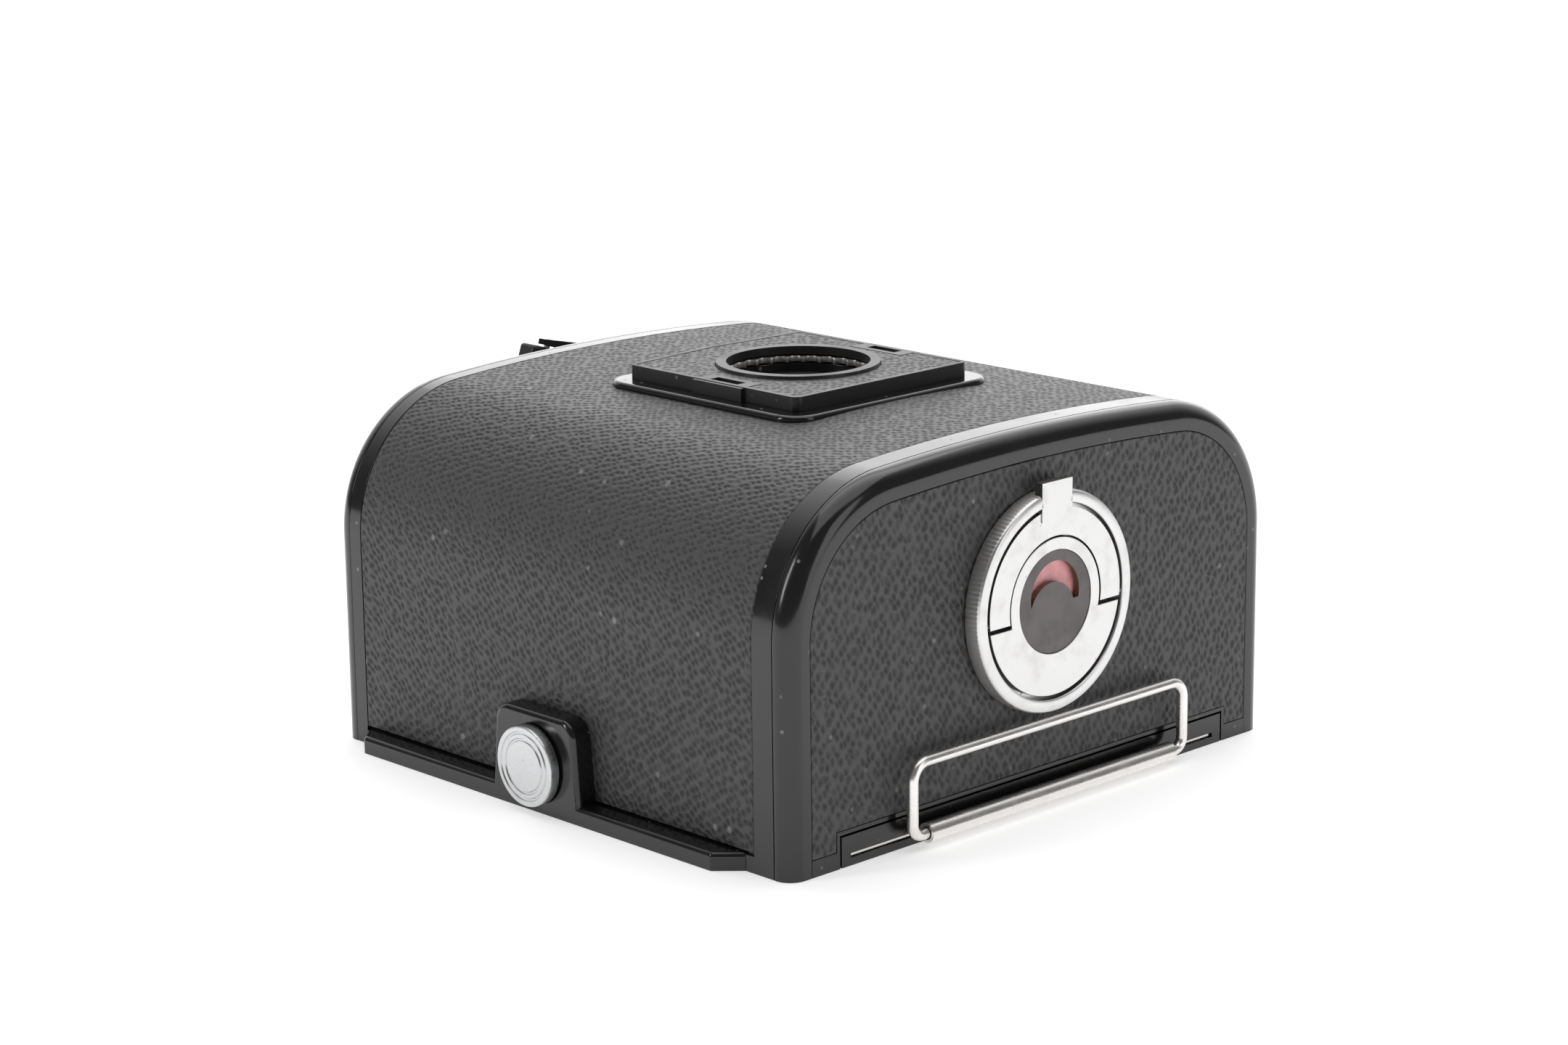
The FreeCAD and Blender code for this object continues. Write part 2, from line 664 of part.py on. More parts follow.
def make_front_plate():
    """The front plate: gate, dark slide channel, slot lip, flange and button boss."""
    clear = "seat_fit"
    slab = box("plate_slab", (f"{COVER_SEAM}+0.1", f"{SEAM}-0.1"),
               (f"-{INNER_SIDE}+{clear}", f"{INNER_SIDE}-{clear}"), ("0", "plate_thick"))
    lip = box("plate_lip", (f"{SEAM}-2", FACE), ("-lip_half", "lip_half"), ("0", LIP_TOP))
    low = "(0-body_length/2+shell_wall+slide_fit)"
    post = box("plate_post", ("0-bar_half-spring_room-1.2", "0-bar_half-spring_room"),
               (low, f"{low}+1.6"), ("plate_thick-1", "button_up+stem_radius"))
    blank = fuse("plate_blank", slab, lip, post, soft_ledge(), soft_boss())
    gate = box("plate_gate", (f"-{GATE}", GATE), (f"-{GATE}", GATE), ("-1", "plate_thick+1"))
    channel = box(
        "plate_channel",
        (f"-{GATE}-sheet_past-slide_fit", f"{FACE}+1"),
        ("0-sheet_half-slide_fit", "sheet_half+slide_fit"),
        ("slot_low", "slot_low+slot_high"),
    )
    hook_slots = [
        box(
            f"plate_hook_{side}",
            (f"{at}-hook_wide/2-catch_travel-slide_fit", f"{at}+hook_wide/2+slide_fit"),
            (f"{low}-slide_fit", f"{low}+1.8+slide_fit"),
            ("-1", "plate_thick+1"),
        )
        for side, at in (("far", "(0-hook_out)"), ("near", "hook_out"))
    ]
    stem_slot = fuse(
        "plate_stem_slot",
        box("plate_stem_middle", ("0-catch_travel", "0"), (f"-{SIDE}-9", "-(body_length/2)+5"),
            ("button_up-stem_radius-slide_fit", "button_up+stem_radius+slide_fit")),
        rod("plate_stem_far", "Y", "stem_radius+slide_fit", (f"-{SIDE}-9", "-(body_length/2)+5"),
            ("0-catch_travel", "button_up")),
        rod("plate_stem_near", "Y", "stem_radius+slide_fit",
            (f"-{SIDE}-9", "-(body_length/2)+5"), ("0", "button_up")),
    )
    supports = [
        box(f"plate_support_{side}", (f"{at}-3", f"{at}+3"),
            (f"{INNER_SIDE}-2.6", f"{INNER_SIDE}-1.0"), ("-1", "3"))
        for side, at in (("far", "(0-hook_out)"), ("near", "hook_out"))
    ]
    drive_y, drive_z = gear_spots()["drive"]
    reach = "(gear_module*(drive_teeth+2)/2+slide_fit)"
    gear_slot = box("plate_gear_slot", (f"{COVER_SEAM}-1", f"{GEAR_PLATE}"),
                    (f"{drive_y}-{reach}", f"{drive_y}+{reach}"), ("-1", "plate_thick+1"))
    holes = []
    for number, (x, y) in enumerate(screw_spots()):
        holes.append(rod(f"plate_head_hole_{number}", "Z", "screw_head+seat_fit", ("-1", "1.1"),
                         (x, y)))
        holes.append(rod(f"plate_shank_hole_{number}", "Z", "screw_shank+seat_fit",
                         ("-1", "plate_thick+1"), (x, y)))
    felt_room = box("plate_felt_room", (f"{SEAM}-5.1", f"{SEAM}-1.9"),
                    ("0-sheet_half-slide_fit", "sheet_half+slide_fit"),
                    ("slot_low+slot_high-0.1", "plate_thick-0.5"))
    plate = cut("plate_cut", blank, gate, channel, stem_slot, gear_slot, felt_room,
                *hook_slots, *supports, *holes)
    publish(plate, "front_plate")

    felt = box("felt", (f"{SEAM}-5", f"{SEAM}-2"), ("0-sheet_half", "sheet_half"),
               ("slot_low+slot_high", "plate_thick-0.6"))
    publish(felt, "light_trap_felt")

    screws = []
    for number, (x, y) in enumerate(screw_spots()):
        head = rod(f"screw_head_{number}", "Z", "screw_head", ("0.15", "1.1"), (x, y))
        shank = rod(f"screw_shank_{number}", "Z", "screw_shank", ("1.1", "plate_thick"), (x, y))
        slot = box(f"screw_slot_{number}", (f"{x}-2", f"{x}+2"), (f"{y}-0.2", f"{y}+0.2"),
                   ("0", "0.55"))
        screws.append(cut(f"front_screw_{number}", fuse(f"screw_blank_{number}", head, shank),
                          slot))
    publish(gather("front_screw_group", *screws), "front_plate_screws")


def screw_spots():
    """Where the four screws of the front plate sit."""
    beside = "(sheet_half+screw_beside)"
    return [(x, y) for x in ("screw_far", "screw_near") for y in (f"-{beside}", beside)]


def make_catch():
    """The catch button outside, and the bar with two hooks that it slides."""
    boss_face = "(0-body_length/2-ledge_out)"
    head = f"({boss_face}-0.35)"
    face = f"({head}-button_thick)"
    button = turned(
        "button",
        "Y",
        [
            (face, "0"),
            (face, "button_radius-2.1"),
            (f"{face}+0.15", "button_radius-1.95"),
            (f"{face}+0.15", "button_radius-1.75"),
            (face, "button_radius-1.6"),
            (face, "button_radius-1.2"),
            (f"{face}+0.15", "button_radius-1.05"),
            (f"{face}+0.15", "button_radius-0.85"),
            (face, "button_radius-0.7"),
            (face, "button_radius-0.3"),
            (f"{face}+0.25", "button_radius"),
            (head, "button_radius"),
            (head, "stem_radius"),
            ("0-body_length/2+shell_wall+slide_fit", "stem_radius"),
            ("0-body_length/2+shell_wall+slide_fit", "0"),
        ],
    )
    place(button, z="button_up")
    publish(button, "catch_button")
    low = "(0-body_length/2+shell_wall+slide_fit)"
    bar = box("catch_bar_body", ("0-bar_half", "bar_half"), (low, f"{low}+1.6"),
              ("plate_thick+slide_fit", "button_up+stem_radius+0.4"))
    hooks = [
        box(f"catch_hook_{side}", (f"{at}-hook_wide/2", f"{at}+hook_wide/2"),
            (low, f"{low}+1.6"), ("0.4", "plate_thick+1"))
        for side, at in (("far", "(0-hook_out)"), ("near", "hook_out"))
    ]
    publish(fuse("catch_bar_blank", bar, *hooks), "catch_bar")
    coil = helix("catch_coil", "spring_radius", "spring_wire", "spring_room", 9)
    coil.Placement = Placement(
        Vector(value("0-bar_half-spring_room+spring_wire"), value(f"{low}+0.8"),
               value("button_up")),
        TURN["X"],
    )
    publish(coil, "catch_spring")


def helix(name, radius, wire, length, turns):
    """A coil spring along Z whose solid fills the length, made with Part's own pipe."""
    thick = value(wire)
    rise = value(length) - 2 * thick
    path = Part.makeHelix(rise / turns, rise, value(radius))
    section = Part.Wire([Part.makeCircle(thick, Vector(value(radius), 0, 0), Vector(0, 1, 0))])
    item = doc.addObject("Part::Feature", name)
    item.Shape = Part.Wire(path.Edges).makePipeShell([section], True, True)
    return item


# ---------------------------------------------------------------- film reminder on the back

def bezel_block(name, grow="0", low="0", high="0"):
    """The bezel's rounded square, or the room for it."""
    half = f"bezel_half+({grow})"
    block = box(name + "_block", (f"-({half})", half), (f"-({half})", half),
                (f"{BEZEL_TOP}-bezel_deep+({low})", f"{BEZEL_TOP}+({high})"))
    return rounded(name, block, f"bezel_corner+({grow})", upright)


def make_reminder():
    """The film reminder: a bezel, a plate that holds a box end, and a numbered dial."""
    low = f"({BEZEL_TOP}-bezel_deep)"
    bezel = cut("bezel_cut", bezel_block("bezel_blank"),
                rod("bezel_well", "Z", "opening_radius", (f"{BEZEL_TOP}-1.5", f"{BEZEL_TOP}+1")))
    edge = value(f"{BEZEL_TOP}")

    def top_edge(item):
        return all(abs(vertex.Point.z - edge) < 1e-4 for vertex in item.Vertexes) and (
            item.CenterOfMass.sub(Vector(0, 0, edge)).Length > value("bezel_half") - 1
        )

    publish(rounded("bezel", bezel, "bezel_proud*1.5", top_edge), "reminder_bezel")
    publish(rod("reminder_floor_disc", "Z", "opening_radius-seat_fit",
                (f"{BEZEL_TOP}-1.5", f"{BEZEL_TOP}-1.2")), "reminder_floor")

    half = "frame_half"
    points = [(half, f"-({half})"), (half, half), (f"-({half})", half),
              (f"-({half})-frame_bulge", "0"), (f"-({half})", f"-({half})")]
    block = prism("frame_block", "XY_Plane", points, BEZEL_TOP, "frame_high")
    corners = rounded("frame_corners", block, "frame_corner", upright)
    pads = [
        box(f"frame_pad_{side}", ("view_shift-view_pad", "view_shift+view_pad"), span,
            (BEZEL_TOP, f"{FRAME_TOP}-0.1"))
        for side, span in (("low", ("0-frame_half-pad_out", "0-frame_half+3")),
                           ("high", ("frame_half-3", "frame_half+pad_out")))
    ]
    collar = rod("frame_collar", "Z", "collar_radius",
                 (f"{FRAME_TOP}-1", f"{FRAME_TOP}+collar_high"))
    views = [
        box(f"frame_view_{side}", ("view_shift-view_width/2", "view_shift+view_width/2"), span,
            (f"{BEZEL_TOP}-1", f"{FRAME_TOP}+1"))
        for side, span in (
            ("low", ("0-dial_radius-0.1", "0-dial_radius-0.1+view_depth")),
            ("high", ("dial_radius+0.1-view_depth", "dial_radius+0.1")),
        )
    ]
    rim = "(frame_half-0.7)"
    inlay_points = [(rim, f"-{rim}"), (rim, rim), (f"-{rim}", rim),
                    (f"-{rim}-frame_bulge", "0"), (f"-{rim}", f"-{rim}")]
    pad_rooms = [
        box(f"inlay_pad_{side}", ("view_shift-view_pad", "view_shift+view_pad"), span,
            (f"{FRAME_TOP}-2", f"{FRAME_TOP}+2"))
        for side, span in (("low", ("0-frame_half-2", "0-dial_radius+view_depth+0.8")),
                           ("high", ("dial_radius-view_depth-0.8", "frame_half+2")))
    ]
    sunk = cut("frame_sunk",
               prism("frame_sunk_block", "XY_Plane", inlay_points, f"{FRAME_TOP}-leather*0.8", "2"),
               rod("frame_sunk_keep", "Z", "collar_radius", (f"{FRAME_TOP}-2", f"{FRAME_TOP}+3")),
               *pad_rooms)
    frame = cut(
        "frame_cut",
        fuse("frame_blank", corners, *pads, collar),
        rod("frame_opening", "Z", "opening_radius", (low, f"{FRAME_TOP}+5")),
        rod("frame_dial_room", "Z", "dial_radius+run_fit", (low, f"{FRAME_TOP}-frame_skin")),
        sunk,
        *views,
    )
    publish(frame, "reminder_plate")
    inlay_rim = "(frame_half-0.75)"
    cloth_points = [(inlay_rim, f"-{inlay_rim}"), (inlay_rim, inlay_rim),
                    (f"-{inlay_rim}", inlay_rim), (f"-{inlay_rim}-frame_bulge", "0"),
                    (f"-{inlay_rim}", f"-{inlay_rim}")]
    cloth = cut("reminder_cloth",
                prism("reminder_cloth_block", "XY_Plane", cloth_points,
                      f"{FRAME_TOP}-leather*0.8", "leather*0.7"),
                rod("reminder_cloth_hole", "Z", "collar_radius+seat_fit",
                    (f"{FRAME_TOP}-2", f"{FRAME_TOP}+3")),
                *[box(f"cloth_pad_{side}",
                      ("view_shift-view_pad-seat_fit", "view_shift+view_pad+seat_fit"), span,
                      (f"{FRAME_TOP}-2", f"{FRAME_TOP}+2"))
                  for side, span in (("low", ("0-frame_half-2", "0-dial_radius+view_depth+0.85")),
                                     ("high", ("dial_radius-view_depth-0.85", "frame_half+2")))])
    publish(cloth, "reminder_leather")

    dial = turned("dial_ring", "Z", [
        (f"{BEZEL_TOP}+0.2", "scallop_radius"),
        (f"{BEZEL_TOP}+0.2+dial_thick", "scallop_radius"),
        (f"{BEZEL_TOP}+0.2+dial_thick", "dial_radius"),
        (f"{BEZEL_TOP}+0.2", "dial_radius"),
    ])
    notches = []
    count = int(value("scallops"))
    for number in range(count):
        angle = 360 / count * number
        notches.append(rod(f"scallop_{number}", "Z", "0.95",
                           (f"{BEZEL_TOP}-1", f"{BEZEL_TOP}+3"),
                           (f"(scallop_radius-0.25)*cos({angle})",
                            f"(scallop_radius-0.25)*sin({angle})")))
    publish(cut("dial_cut", dial, *notches), "reminder_dial")


# ---------------------------------------------------------------- gears

def gear_spots():
    """The gear axes in the Y-Z plane, each as a pair of numbers."""
    spool = (value(SPOOL_Y), value(SPOOL_Z))
    module = value("gear_module")
    radius = {name: module * value(f"{name}_teeth") / 2 for name in ("crank", "spool", "drive")}
    turn = math.radians(value("crank_angle"))
    apart = radius["crank"] + radius["spool"]
    crank = (spool[0] + apart * math.cos(turn), spool[1] + apart * math.sin(turn))
    drive = (spool[0] - value("drive_beside"), radius["drive"] + module + 0.35)
    reach = math.dist(spool, drive)
    radius["idler"] = module * idler_teeth(reach) / 2
    first = radius["spool"] + radius["idler"]
    second = radius["idler"] + radius["drive"]
    heading = math.atan2(drive[1] - spool[1], drive[0] - spool[0])
    way = heading + math.acos((first**2 + reach**2 - second**2) / (2 * first * reach))
    idler = (spool[0] + first * math.cos(way), spool[1] + first * math.sin(way))
    side = math.radians(value("dial_angle"))
    far = value("dial_module*(pinion_teeth+dial_teeth)/2")
    dial = (idler[0] + far * math.cos(side), idler[1] + far * math.sin(side))
    return {"spool": spool, "crank": crank, "drive": drive, "idler": idler, "dial": dial}


def idler_teeth(reach):
    """Teeth of an idler just large enough to bridge the spool gear and the drive gear."""
    bare = reach - value("gear_module*(spool_teeth+drive_teeth)/2")
    return math.ceil(bare / value("gear_module")) + 1


def window_spots():
    """The centres of the two windows in the crank side."""
    dial = gear_spots()["dial"]
    return {
        "counter": (dial[0] - value("dial_module*dial_teeth/2") + 3.6, dial[1]),
        "signal": (dial[0] - value("dial_module*dial_teeth/2") - 7.0, dial[1]),
    }


def mesh_phase(own, other, own_phase, own_teeth, other_teeth, spots):
    """The other gear's phase, in radians, that puts its gap opposite our tooth."""
    at, to = spots[own], spots[other]
    line = math.atan2(to[1] - at[1], to[0] - at[0])
    lead = own_phase - line
    other_lead = -(own_teeth * lead + math.pi) / other_teeth
    return line + math.pi + other_lead


def gear(name, module, teeth, low, high):
    """A toothed disc along X: root disc, one tooth and a polar pattern of it."""
    body = new_body(name)
    root = f"{module}*({teeth}/2-1.2)"
    pitch = f"{module}*{teeth}/2"
    tip = f"{module}*({teeth}/2+0.85)"
    disc = new_sketch(body, name + "_root", "YZ_Plane", low)
    disc.addGeometry(Part.Circle(Vector(), Vector(0, 0, 1), value(root)), False)
    disc.addConstraint(Sketcher.Constraint("Coincident", 0, 3, -1, 1))
    number = disc.addConstraint(Sketcher.Constraint("Radius", 0, value(root)))
    disc.setExpression(f"Constraints[{number}]", formula(root))
    pad(body, disc, f"({high})-({low})")
    doc.recompute()
    points = [
        (f"{root}-0.2", f"0-{module}*0.95"),
        (pitch, f"0-{module}*0.66"),
        (tip, f"0-{module}*0.3"),
        (tip, f"{module}*0.3"),
        (pitch, f"{module}*0.66"),
        (f"{root}-0.2", f"{module}*0.95"),
    ]
    tooth = pad(body, outline(new_sketch(body, name + "_tooth", "YZ_Plane", low), points),
                f"({high})-({low})")
    doc.recompute()
    ring = body.newObject("PartDesign::PolarPattern", name + "_teeth")
    ring.Originals = [tooth]
    ring.Axis = (disc, ["N_Axis"])
    ring.Angle = 360.0
    ring.setExpression("Occurrences", formula(teeth))
    body.Tip = ring
    return body


def at_spot(item, spot, phase=0.0):
    """Move an object made on the X axis to a gear's axis, turned by its phase."""
    y, z = spot
    item.Placement = Placement(Vector(0, y, z), Rotation(Vector(1, 0, 0), math.degrees(phase)))
    return item


def make_gears():
    """The film drive: crank gear, spool gear and driver, idler with pinion, drive gear, dial."""
    spots = gear_spots()
    low = f"({GEAR_PLATE}-gear_thick-0.5)"
    high = f"({GEAR_PLATE}-0.5)"
    dial_high = f"({low}-0.35)"
    dial_low = f"({COVER_INSIDE}+0.5)"
    count = {name: value(f"{name}_teeth")
             for name in ("crank", "spool", "drive", "pinion", "dial")}
    count["idler"] = idler_teeth(math.dist(spots["spool"], spots["drive"]))
    phase = {"spool": 0.0}
    phase["crank"] = mesh_phase("spool", "crank", 0.0, count["spool"], count["crank"], spots)
    phase["idler"] = mesh_phase("spool", "idler", 0.0, count["spool"], count["idler"], spots)
    phase["drive"] = mesh_phase("idler", "drive", phase["idler"], count["idler"],
                                count["drive"], spots)
    phase["dial"] = mesh_phase("idler", "dial", phase["idler"], count["pinion"],
                               count["dial"], spots)

    bore = "arbor_radius+run_fit"
    crank = cut("crank_gear_cut", gear("crank_gear_blank", "gear_module", "crank_teeth", low, high),
                rod("crank_gear_bore", "X", "arbor_radius+1.2", (f"{low}-5", f"{high}+5")))
    publish(at_spot(crank, spots["crank"], phase["crank"]), "crank_gear")

    driver_tip = f"(0-spool_length/2+3)"
    spool = fuse(
        "spool_gear_blank",
        gear("spool_gear_teeth", "gear_module", "spool_teeth", low, high),
        rod("driver_shaft", "X", "2.0", (high, driver_tip)),
        rod("driver_head", "X", "spool_bore-0.35", (f"{FAR_PLATE}-0.4", driver_tip)),
        box("driver_blade", (f"0-spool_length/2+0.2", driver_tip),
            ("0-spool_bore-0.9", "spool_bore+0.9"), ("-0.45", "0.45")),
    )
    spool = cut("spool_gear_cut", spool,
                rod("spool_gear_bore", "X", bore, (f"{low}-1", f"{high}")))
    publish(at_spot(spool, spots["spool"]), "take_up_driver")

    idler = fuse("idler_blank",
                 gear("idler_ring", "gear_module", str(count["idler"]), low, high),
                 gear("pinion_ring", "dial_module", "pinion_teeth", dial_low, low))
    idler = cut("idler_cut", idler, rod("idler_bore", "X", bore, (f"{dial_low}-1", f"{high}+1")))
    publish(at_spot(idler, spots["idler"], phase["idler"]), "idler_gear")

    drive = cut("drive_cut", gear("drive_gear_blank", "gear_module", "drive_teeth", low, high),
                rod("drive_bore", "X", bore, (f"{low}-1", f"{high}+1")))
    publish(at_spot(drive, spots["drive"], phase["drive"]), "drive_gear")

    dial = cut("counter_cut", gear("counter_blank", "dial_module", "dial_teeth",
                                   dial_low, f"{dial_low}+1.0"),
               rod("counter_bore", "X", bore, (f"{dial_low}-1", f"{dial_high}+1")))
    publish(at_spot(dial, spots["dial"], phase["dial"]), "counter_dial")

    signal_y, signal_z = window_spots()["signal"]
    vane = fuse("signal_blank",
                rod("signal_hub", "X", "arbor_radius+1.4", (dial_low, f"{dial_low}+1.0")),
                rod("signal_disc", "X", "3.4", (dial_low, f"{dial_low}+0.6"), ("0", "4.0")))
    vane = cut("signal_cut", vane,
               rod("signal_bore", "X", bore, (f"{dial_low}-1", f"{dial_low}+3")))
    vane.Placement = Placement(Vector(0, signal_y, signal_z - 4.0), Rotation())
    publish(vane, "signal_vane")

    plate_high = f"({GEAR_PLATE}+gear_plate_thick)"
    shaft_room = rod("gear_plate_crank", "X", "arbor_radius+1.2+run_fit",
                     (f"{GEAR_PLATE}-1", f"{plate_high}+1"), spots["crank"])
    driver_room = rod("gear_plate_driver", "X", "2.0+run_fit",
                      (f"{GEAR_PLATE}-1", f"{plate_high}+1"), spots["spool"])
    wall = profile("gear_plate_wall", GEAR_PLATE, plate_high, "shell_wall+seat_fit",
                   "plate_thick+seat_fit")
    publish(cut("gear_plate_cut", wall, shaft_room, driver_room), "gear_plate")

    arbors = []
    for name, start in (("spool", low), ("idler", dial_low), ("drive", low), ("dial", dial_low)):
        finish = f"{GEAR_PLATE}" if name != "spool" else f"{high}-0.1"
        arbors.append(rod(f"{name}_arbor", "X", "arbor_radius",
                          (COVER_INSIDE, finish), spots[name]))
    arbors.append(rod("signal_arbor", "X", "arbor_radius", (COVER_INSIDE, GEAR_PLATE),
                      (signal_y, signal_z - 4.0)))
    publish(gather("arbor_group", *arbors), "gear_arbors")


# ---------------------------------------------------------------- crank

def make_crank():
    """The winding crank on the side: hub with shaft, tapered arm, screw and folding knob."""
    spots = gear_spots()
    spot = spots["crank"]
    lean = math.radians(value("crank_tilt"))
    hub_low = "(0-body_width/2-0.4-hub_thick)"
    hub = turned("hub", "X", [
        (hub_low, "0"),
        (hub_low, "crank_hub-0.6"),
        (f"{hub_low}+0.6", "crank_hub"),
        ("0-body_width/2-0.4", "crank_hub"),
        ("0-body_width/2-0.4", "arbor_radius+1.2"),
        (f"{GEAR_PLATE}+gear_plate_thick", "arbor_radius+1.2"),
        (f"{GEAR_PLATE}+gear_plate_thick", "0"),
    ])
    publish(at_spot(cut("hub_cut", hub, rod("hub_screw_hole", "X", "screw_shank+seat_fit",
                                            (f"{hub_low}-1", f"{hub_low}+2.2"))),
                    spot), "crank_hub")
    arm_high = hub_low
    arm_low = f"({hub_low}-arm_thick)"
    points = [("0", "0-crank_hub+0.5"), ("crank_arm", "0-arm_end"), ("crank_arm", "arm_end"),
              ("0", "crank_hub-0.5")]
    blade = fuse(
        "arm_blank",
        prism("arm_blade", "YZ_Plane", points, arm_low, "arm_thick"),
        rod("arm_root", "X", "crank_hub-0.5", (arm_low, arm_high)),
    )
    knob_from = "(crank_arm-4.4)"
    arm = cut(
        "arm_cut",
        blade,
        rod("arm_hole", "X", "screw_shank+seat_fit", (f"{arm_low}-1", f"{arm_high}+1")),
        rod("arm_head_hole", "X", "screw_head+seat_fit", (f"{arm_low}-1", f"{arm_low}+0.8")),
        box("arm_fork", (f"{arm_low}-1", f"{arm_high}+1"),
            (f"{knob_from}-slide_fit", "crank_arm+3"),
            ("0-arm_end+1.1-slide_fit", "arm_end-1.1+slide_fit")),
        rod("fork_hole", "Z", "knob_pin", ("-9", "9"),
            (f"({arm_low}+arm_thick/2)", "(crank_arm-1.2)")),
    )
    publish(at_spot(arm, spot, lean), "crank_arm")
    screw = cut("crank_screw_blank",
                fuse("crank_screw_body",
                     rod("crank_screw_head", "X", "screw_head", (arm_low, f"{arm_low}+0.75")),
                     rod("crank_screw_shank", "X", "screw_shank",
                         (f"{arm_low}+0.75", f"{hub_low}+2.0"))),
                box("crank_screw_slot", (f"{arm_low}-1", f"{arm_low}+0.4"), ("-3", "3"),
                    ("-0.2", "0.2")))
    publish(at_spot(screw, spot), "crank_screw")
    pin_at = "(crank_arm-1.2)"
    middle = f"({arm_low}+arm_thick/2)"
    block = box("knob_block", (f"{middle}+0.65-knob_high", f"{middle}+0.65"),
                (knob_from, "crank_arm+1.6"), ("0-arm_end+1.1", "arm_end-1.1"))
    knob = rounded("knob_soft", block, "0.55", lambda edge: edge.Length > 0.8)
    pin_hole = rod("knob_pin_hole", "Z", "knob_pin+run_fit", ("-9", "9"), (middle, pin_at))
    publish(at_spot(cut("knob_cut", knob, pin_hole), spot, lean), "crank_knob")
    pivot = rod("knob_pivot", "Z", "knob_pin", ("0-arm_end+0.2", "arm_end-0.2"), (middle, pin_at))
    publish(at_spot(gather("knob_pivot_carrier", pivot), spot, lean), "knob_pin")


# ---------------------------------------------------------------- film insert

def make_insert():
    """The film insert: end plates and rails, rollers, pressure plate, spool and indicator."""
    floor = "(plate_thick+film_gap)"
    far = (FAR_PLATE, f"{FAR_PLATE}+end_plate")
    near = (NEAR_PLATE, f"{NEAR_PLATE}+end_plate")
    plates = [profile(f"end_{name}", low, high, "insert_inset", f"{floor}")
              for name, (low, high) in (("far", far), ("near", near))]
    edge = "(body_length/2-insert_inset)"
    rails = [box(f"rail_{name}", (f"{FAR_PLATE}+0.5", f"{NEAR_PLATE}+0.5"), span,
                 (f"{floor}+1", f"{floor}+7"))
             for name, span in (("low", (f"-{edge}", f"1.2-{edge}")),
                                ("high", (f"{edge}-1.2", edge)))]
    bridge = box("bridge", (f"{FAR_PLATE}+0.5", f"{NEAR_PLATE}+0.5"),
                 ("0-bridge_half", "bridge_half"), ("bridge_up", "bridge_up+1"))
    posts = [rod(f"post_{number}", "X", "2.2", (f"{NEAR_PLATE}+0.5", f"{FACE}-cap_wall"), spot)
             for number, spot in enumerate((
                 (f"0-{edge}+5", f"{floor}+6"), (f"{edge}-5", f"{floor}+6"),
                 (f"0-{edge}+11", "body_depth-14"), (f"{edge}-11", "body_depth-14")))]
    through = ("0-body_width", "body_width")
    holes = [
        rod("far_drive_hole", "X", "spool_bore+0.2", (f"{FAR_PLATE}-1", "0"),
            (SPOOL_Y, SPOOL_Z)),
        rod("indicator_hole", "X", "arbor_radius+run_fit", ("0", "body_width"), ("0", KEY_Z)),
    ]
    for name, side in (("low", "(0-roller_side)"), ("high", "roller_side")):
        holes.append(rod(f"roller_hole_{name}", "X", "roller_pin+run_fit", through,
                         (side, "roller_up")))
    publish(cut("insert_frame_cut", fuse("insert_frame_blank", *plates, *rails, bridge, *posts),
                *holes), "insert_frame")

    for name, side in (("low", "0-roller_side"), ("high", "roller_side")):
        half = "(spool_length/2+spool_play-slide_fit)"
        pin_end = "(spool_length/2+spool_play+end_plate)"
        roller = turned(f"roller_{name}_body", "X", [
            (f"-{pin_end}", "0"), (f"-{pin_end}", "roller_pin"), (f"-{half}", "roller_pin"),
            (f"-{half}", "roller_radius"), (f"2.4-{half}", "roller_radius"),
            (f"3.0-{half}", "roller_radius-0.3"), (f"{half}-3.0", "roller_radius-0.3"),
            (f"{half}-2.4", "roller_radius"), (half, "roller_radius"), (half, "roller_pin"),
            (pin_end, "roller_pin"), (pin_end, "0"),
        ])
        place(roller, y=side, z="roller_up")
        publish(roller, "supply_roller" if name == "low" else "take_up_roller")

    pad_blank = box("pressure_blank", ("0-pad_half", "pad_half"), ("0-pad_half+2", "pad_half-2"),
                    (floor, f"{floor}+pad_thick"))
    publish(rounded("pressure_soft", pad_blank, "2.0", upright), "pressure_plate")

    low, high, leaf = f"{floor}+pad_thick", "bridge_up", "leaf_thick"
    arch = [
        ("0-leaf_half", low), ("2-leaf_half", low), ("-2", f"{high}-{leaf}"),
        ("2", f"{high}-{leaf}"), ("leaf_half-2", low), ("leaf_half", low),
        ("leaf_half", f"{low}+{leaf}"), ("leaf_half-1.9", f"{low}+{leaf}"), ("2.1", high),
        ("-2.1", high), ("1.9-leaf_half", f"{low}+{leaf}"), ("0-leaf_half", f"{low}+{leaf}"),
    ]
    publish(prism("pressure_leaf", "XZ_Plane", arch, "0-leaf_wide/2", "leaf_wide"),
            "pressure_spring")

    spool_half = "spool_length/2"
    spool = turned("spool_body", "X", [
        (f"-{spool_half}", "spool_bore"), (f"-{spool_half}", "spool_flange"),
        (f"spool_rim-{spool_half}", "spool_flange"), (f"spool_rim-{spool_half}", "spool_core"),
        (f"{spool_half}-spool_rim", "spool_core"), (f"{spool_half}-spool_rim", "spool_flange"),
        (spool_half, "spool_flange"), (spool_half, "spool_bore"),
    ])
    place(spool, y=SPOOL_Y, z=SPOOL_Z)
    keyway = [box(f"spool_key_{side}", span, (f"{SPOOL_Y}-spool_bore-1.3",
                                               f"{SPOOL_Y}+spool_bore+1.3"),
                  (f"{SPOOL_Z}-0.8", f"{SPOOL_Z}+0.8"))
              for side, span in (("far", (f"-1-{spool_half}", f"4-{spool_half}")),
                                 ("near", (f"{spool_half}-4", f"{spool_half}+1")))]
    slit = box("spool_slit", ("-28", "28"), (f"{SPOOL_Y}-8", f"{SPOOL_Y}+8"),
               (f"{SPOOL_Z}-0.6", f"{SPOOL_Z}+0.6"))
    publish(cut("spool_cut", spool, *keyway, slit), "take_up_spool")

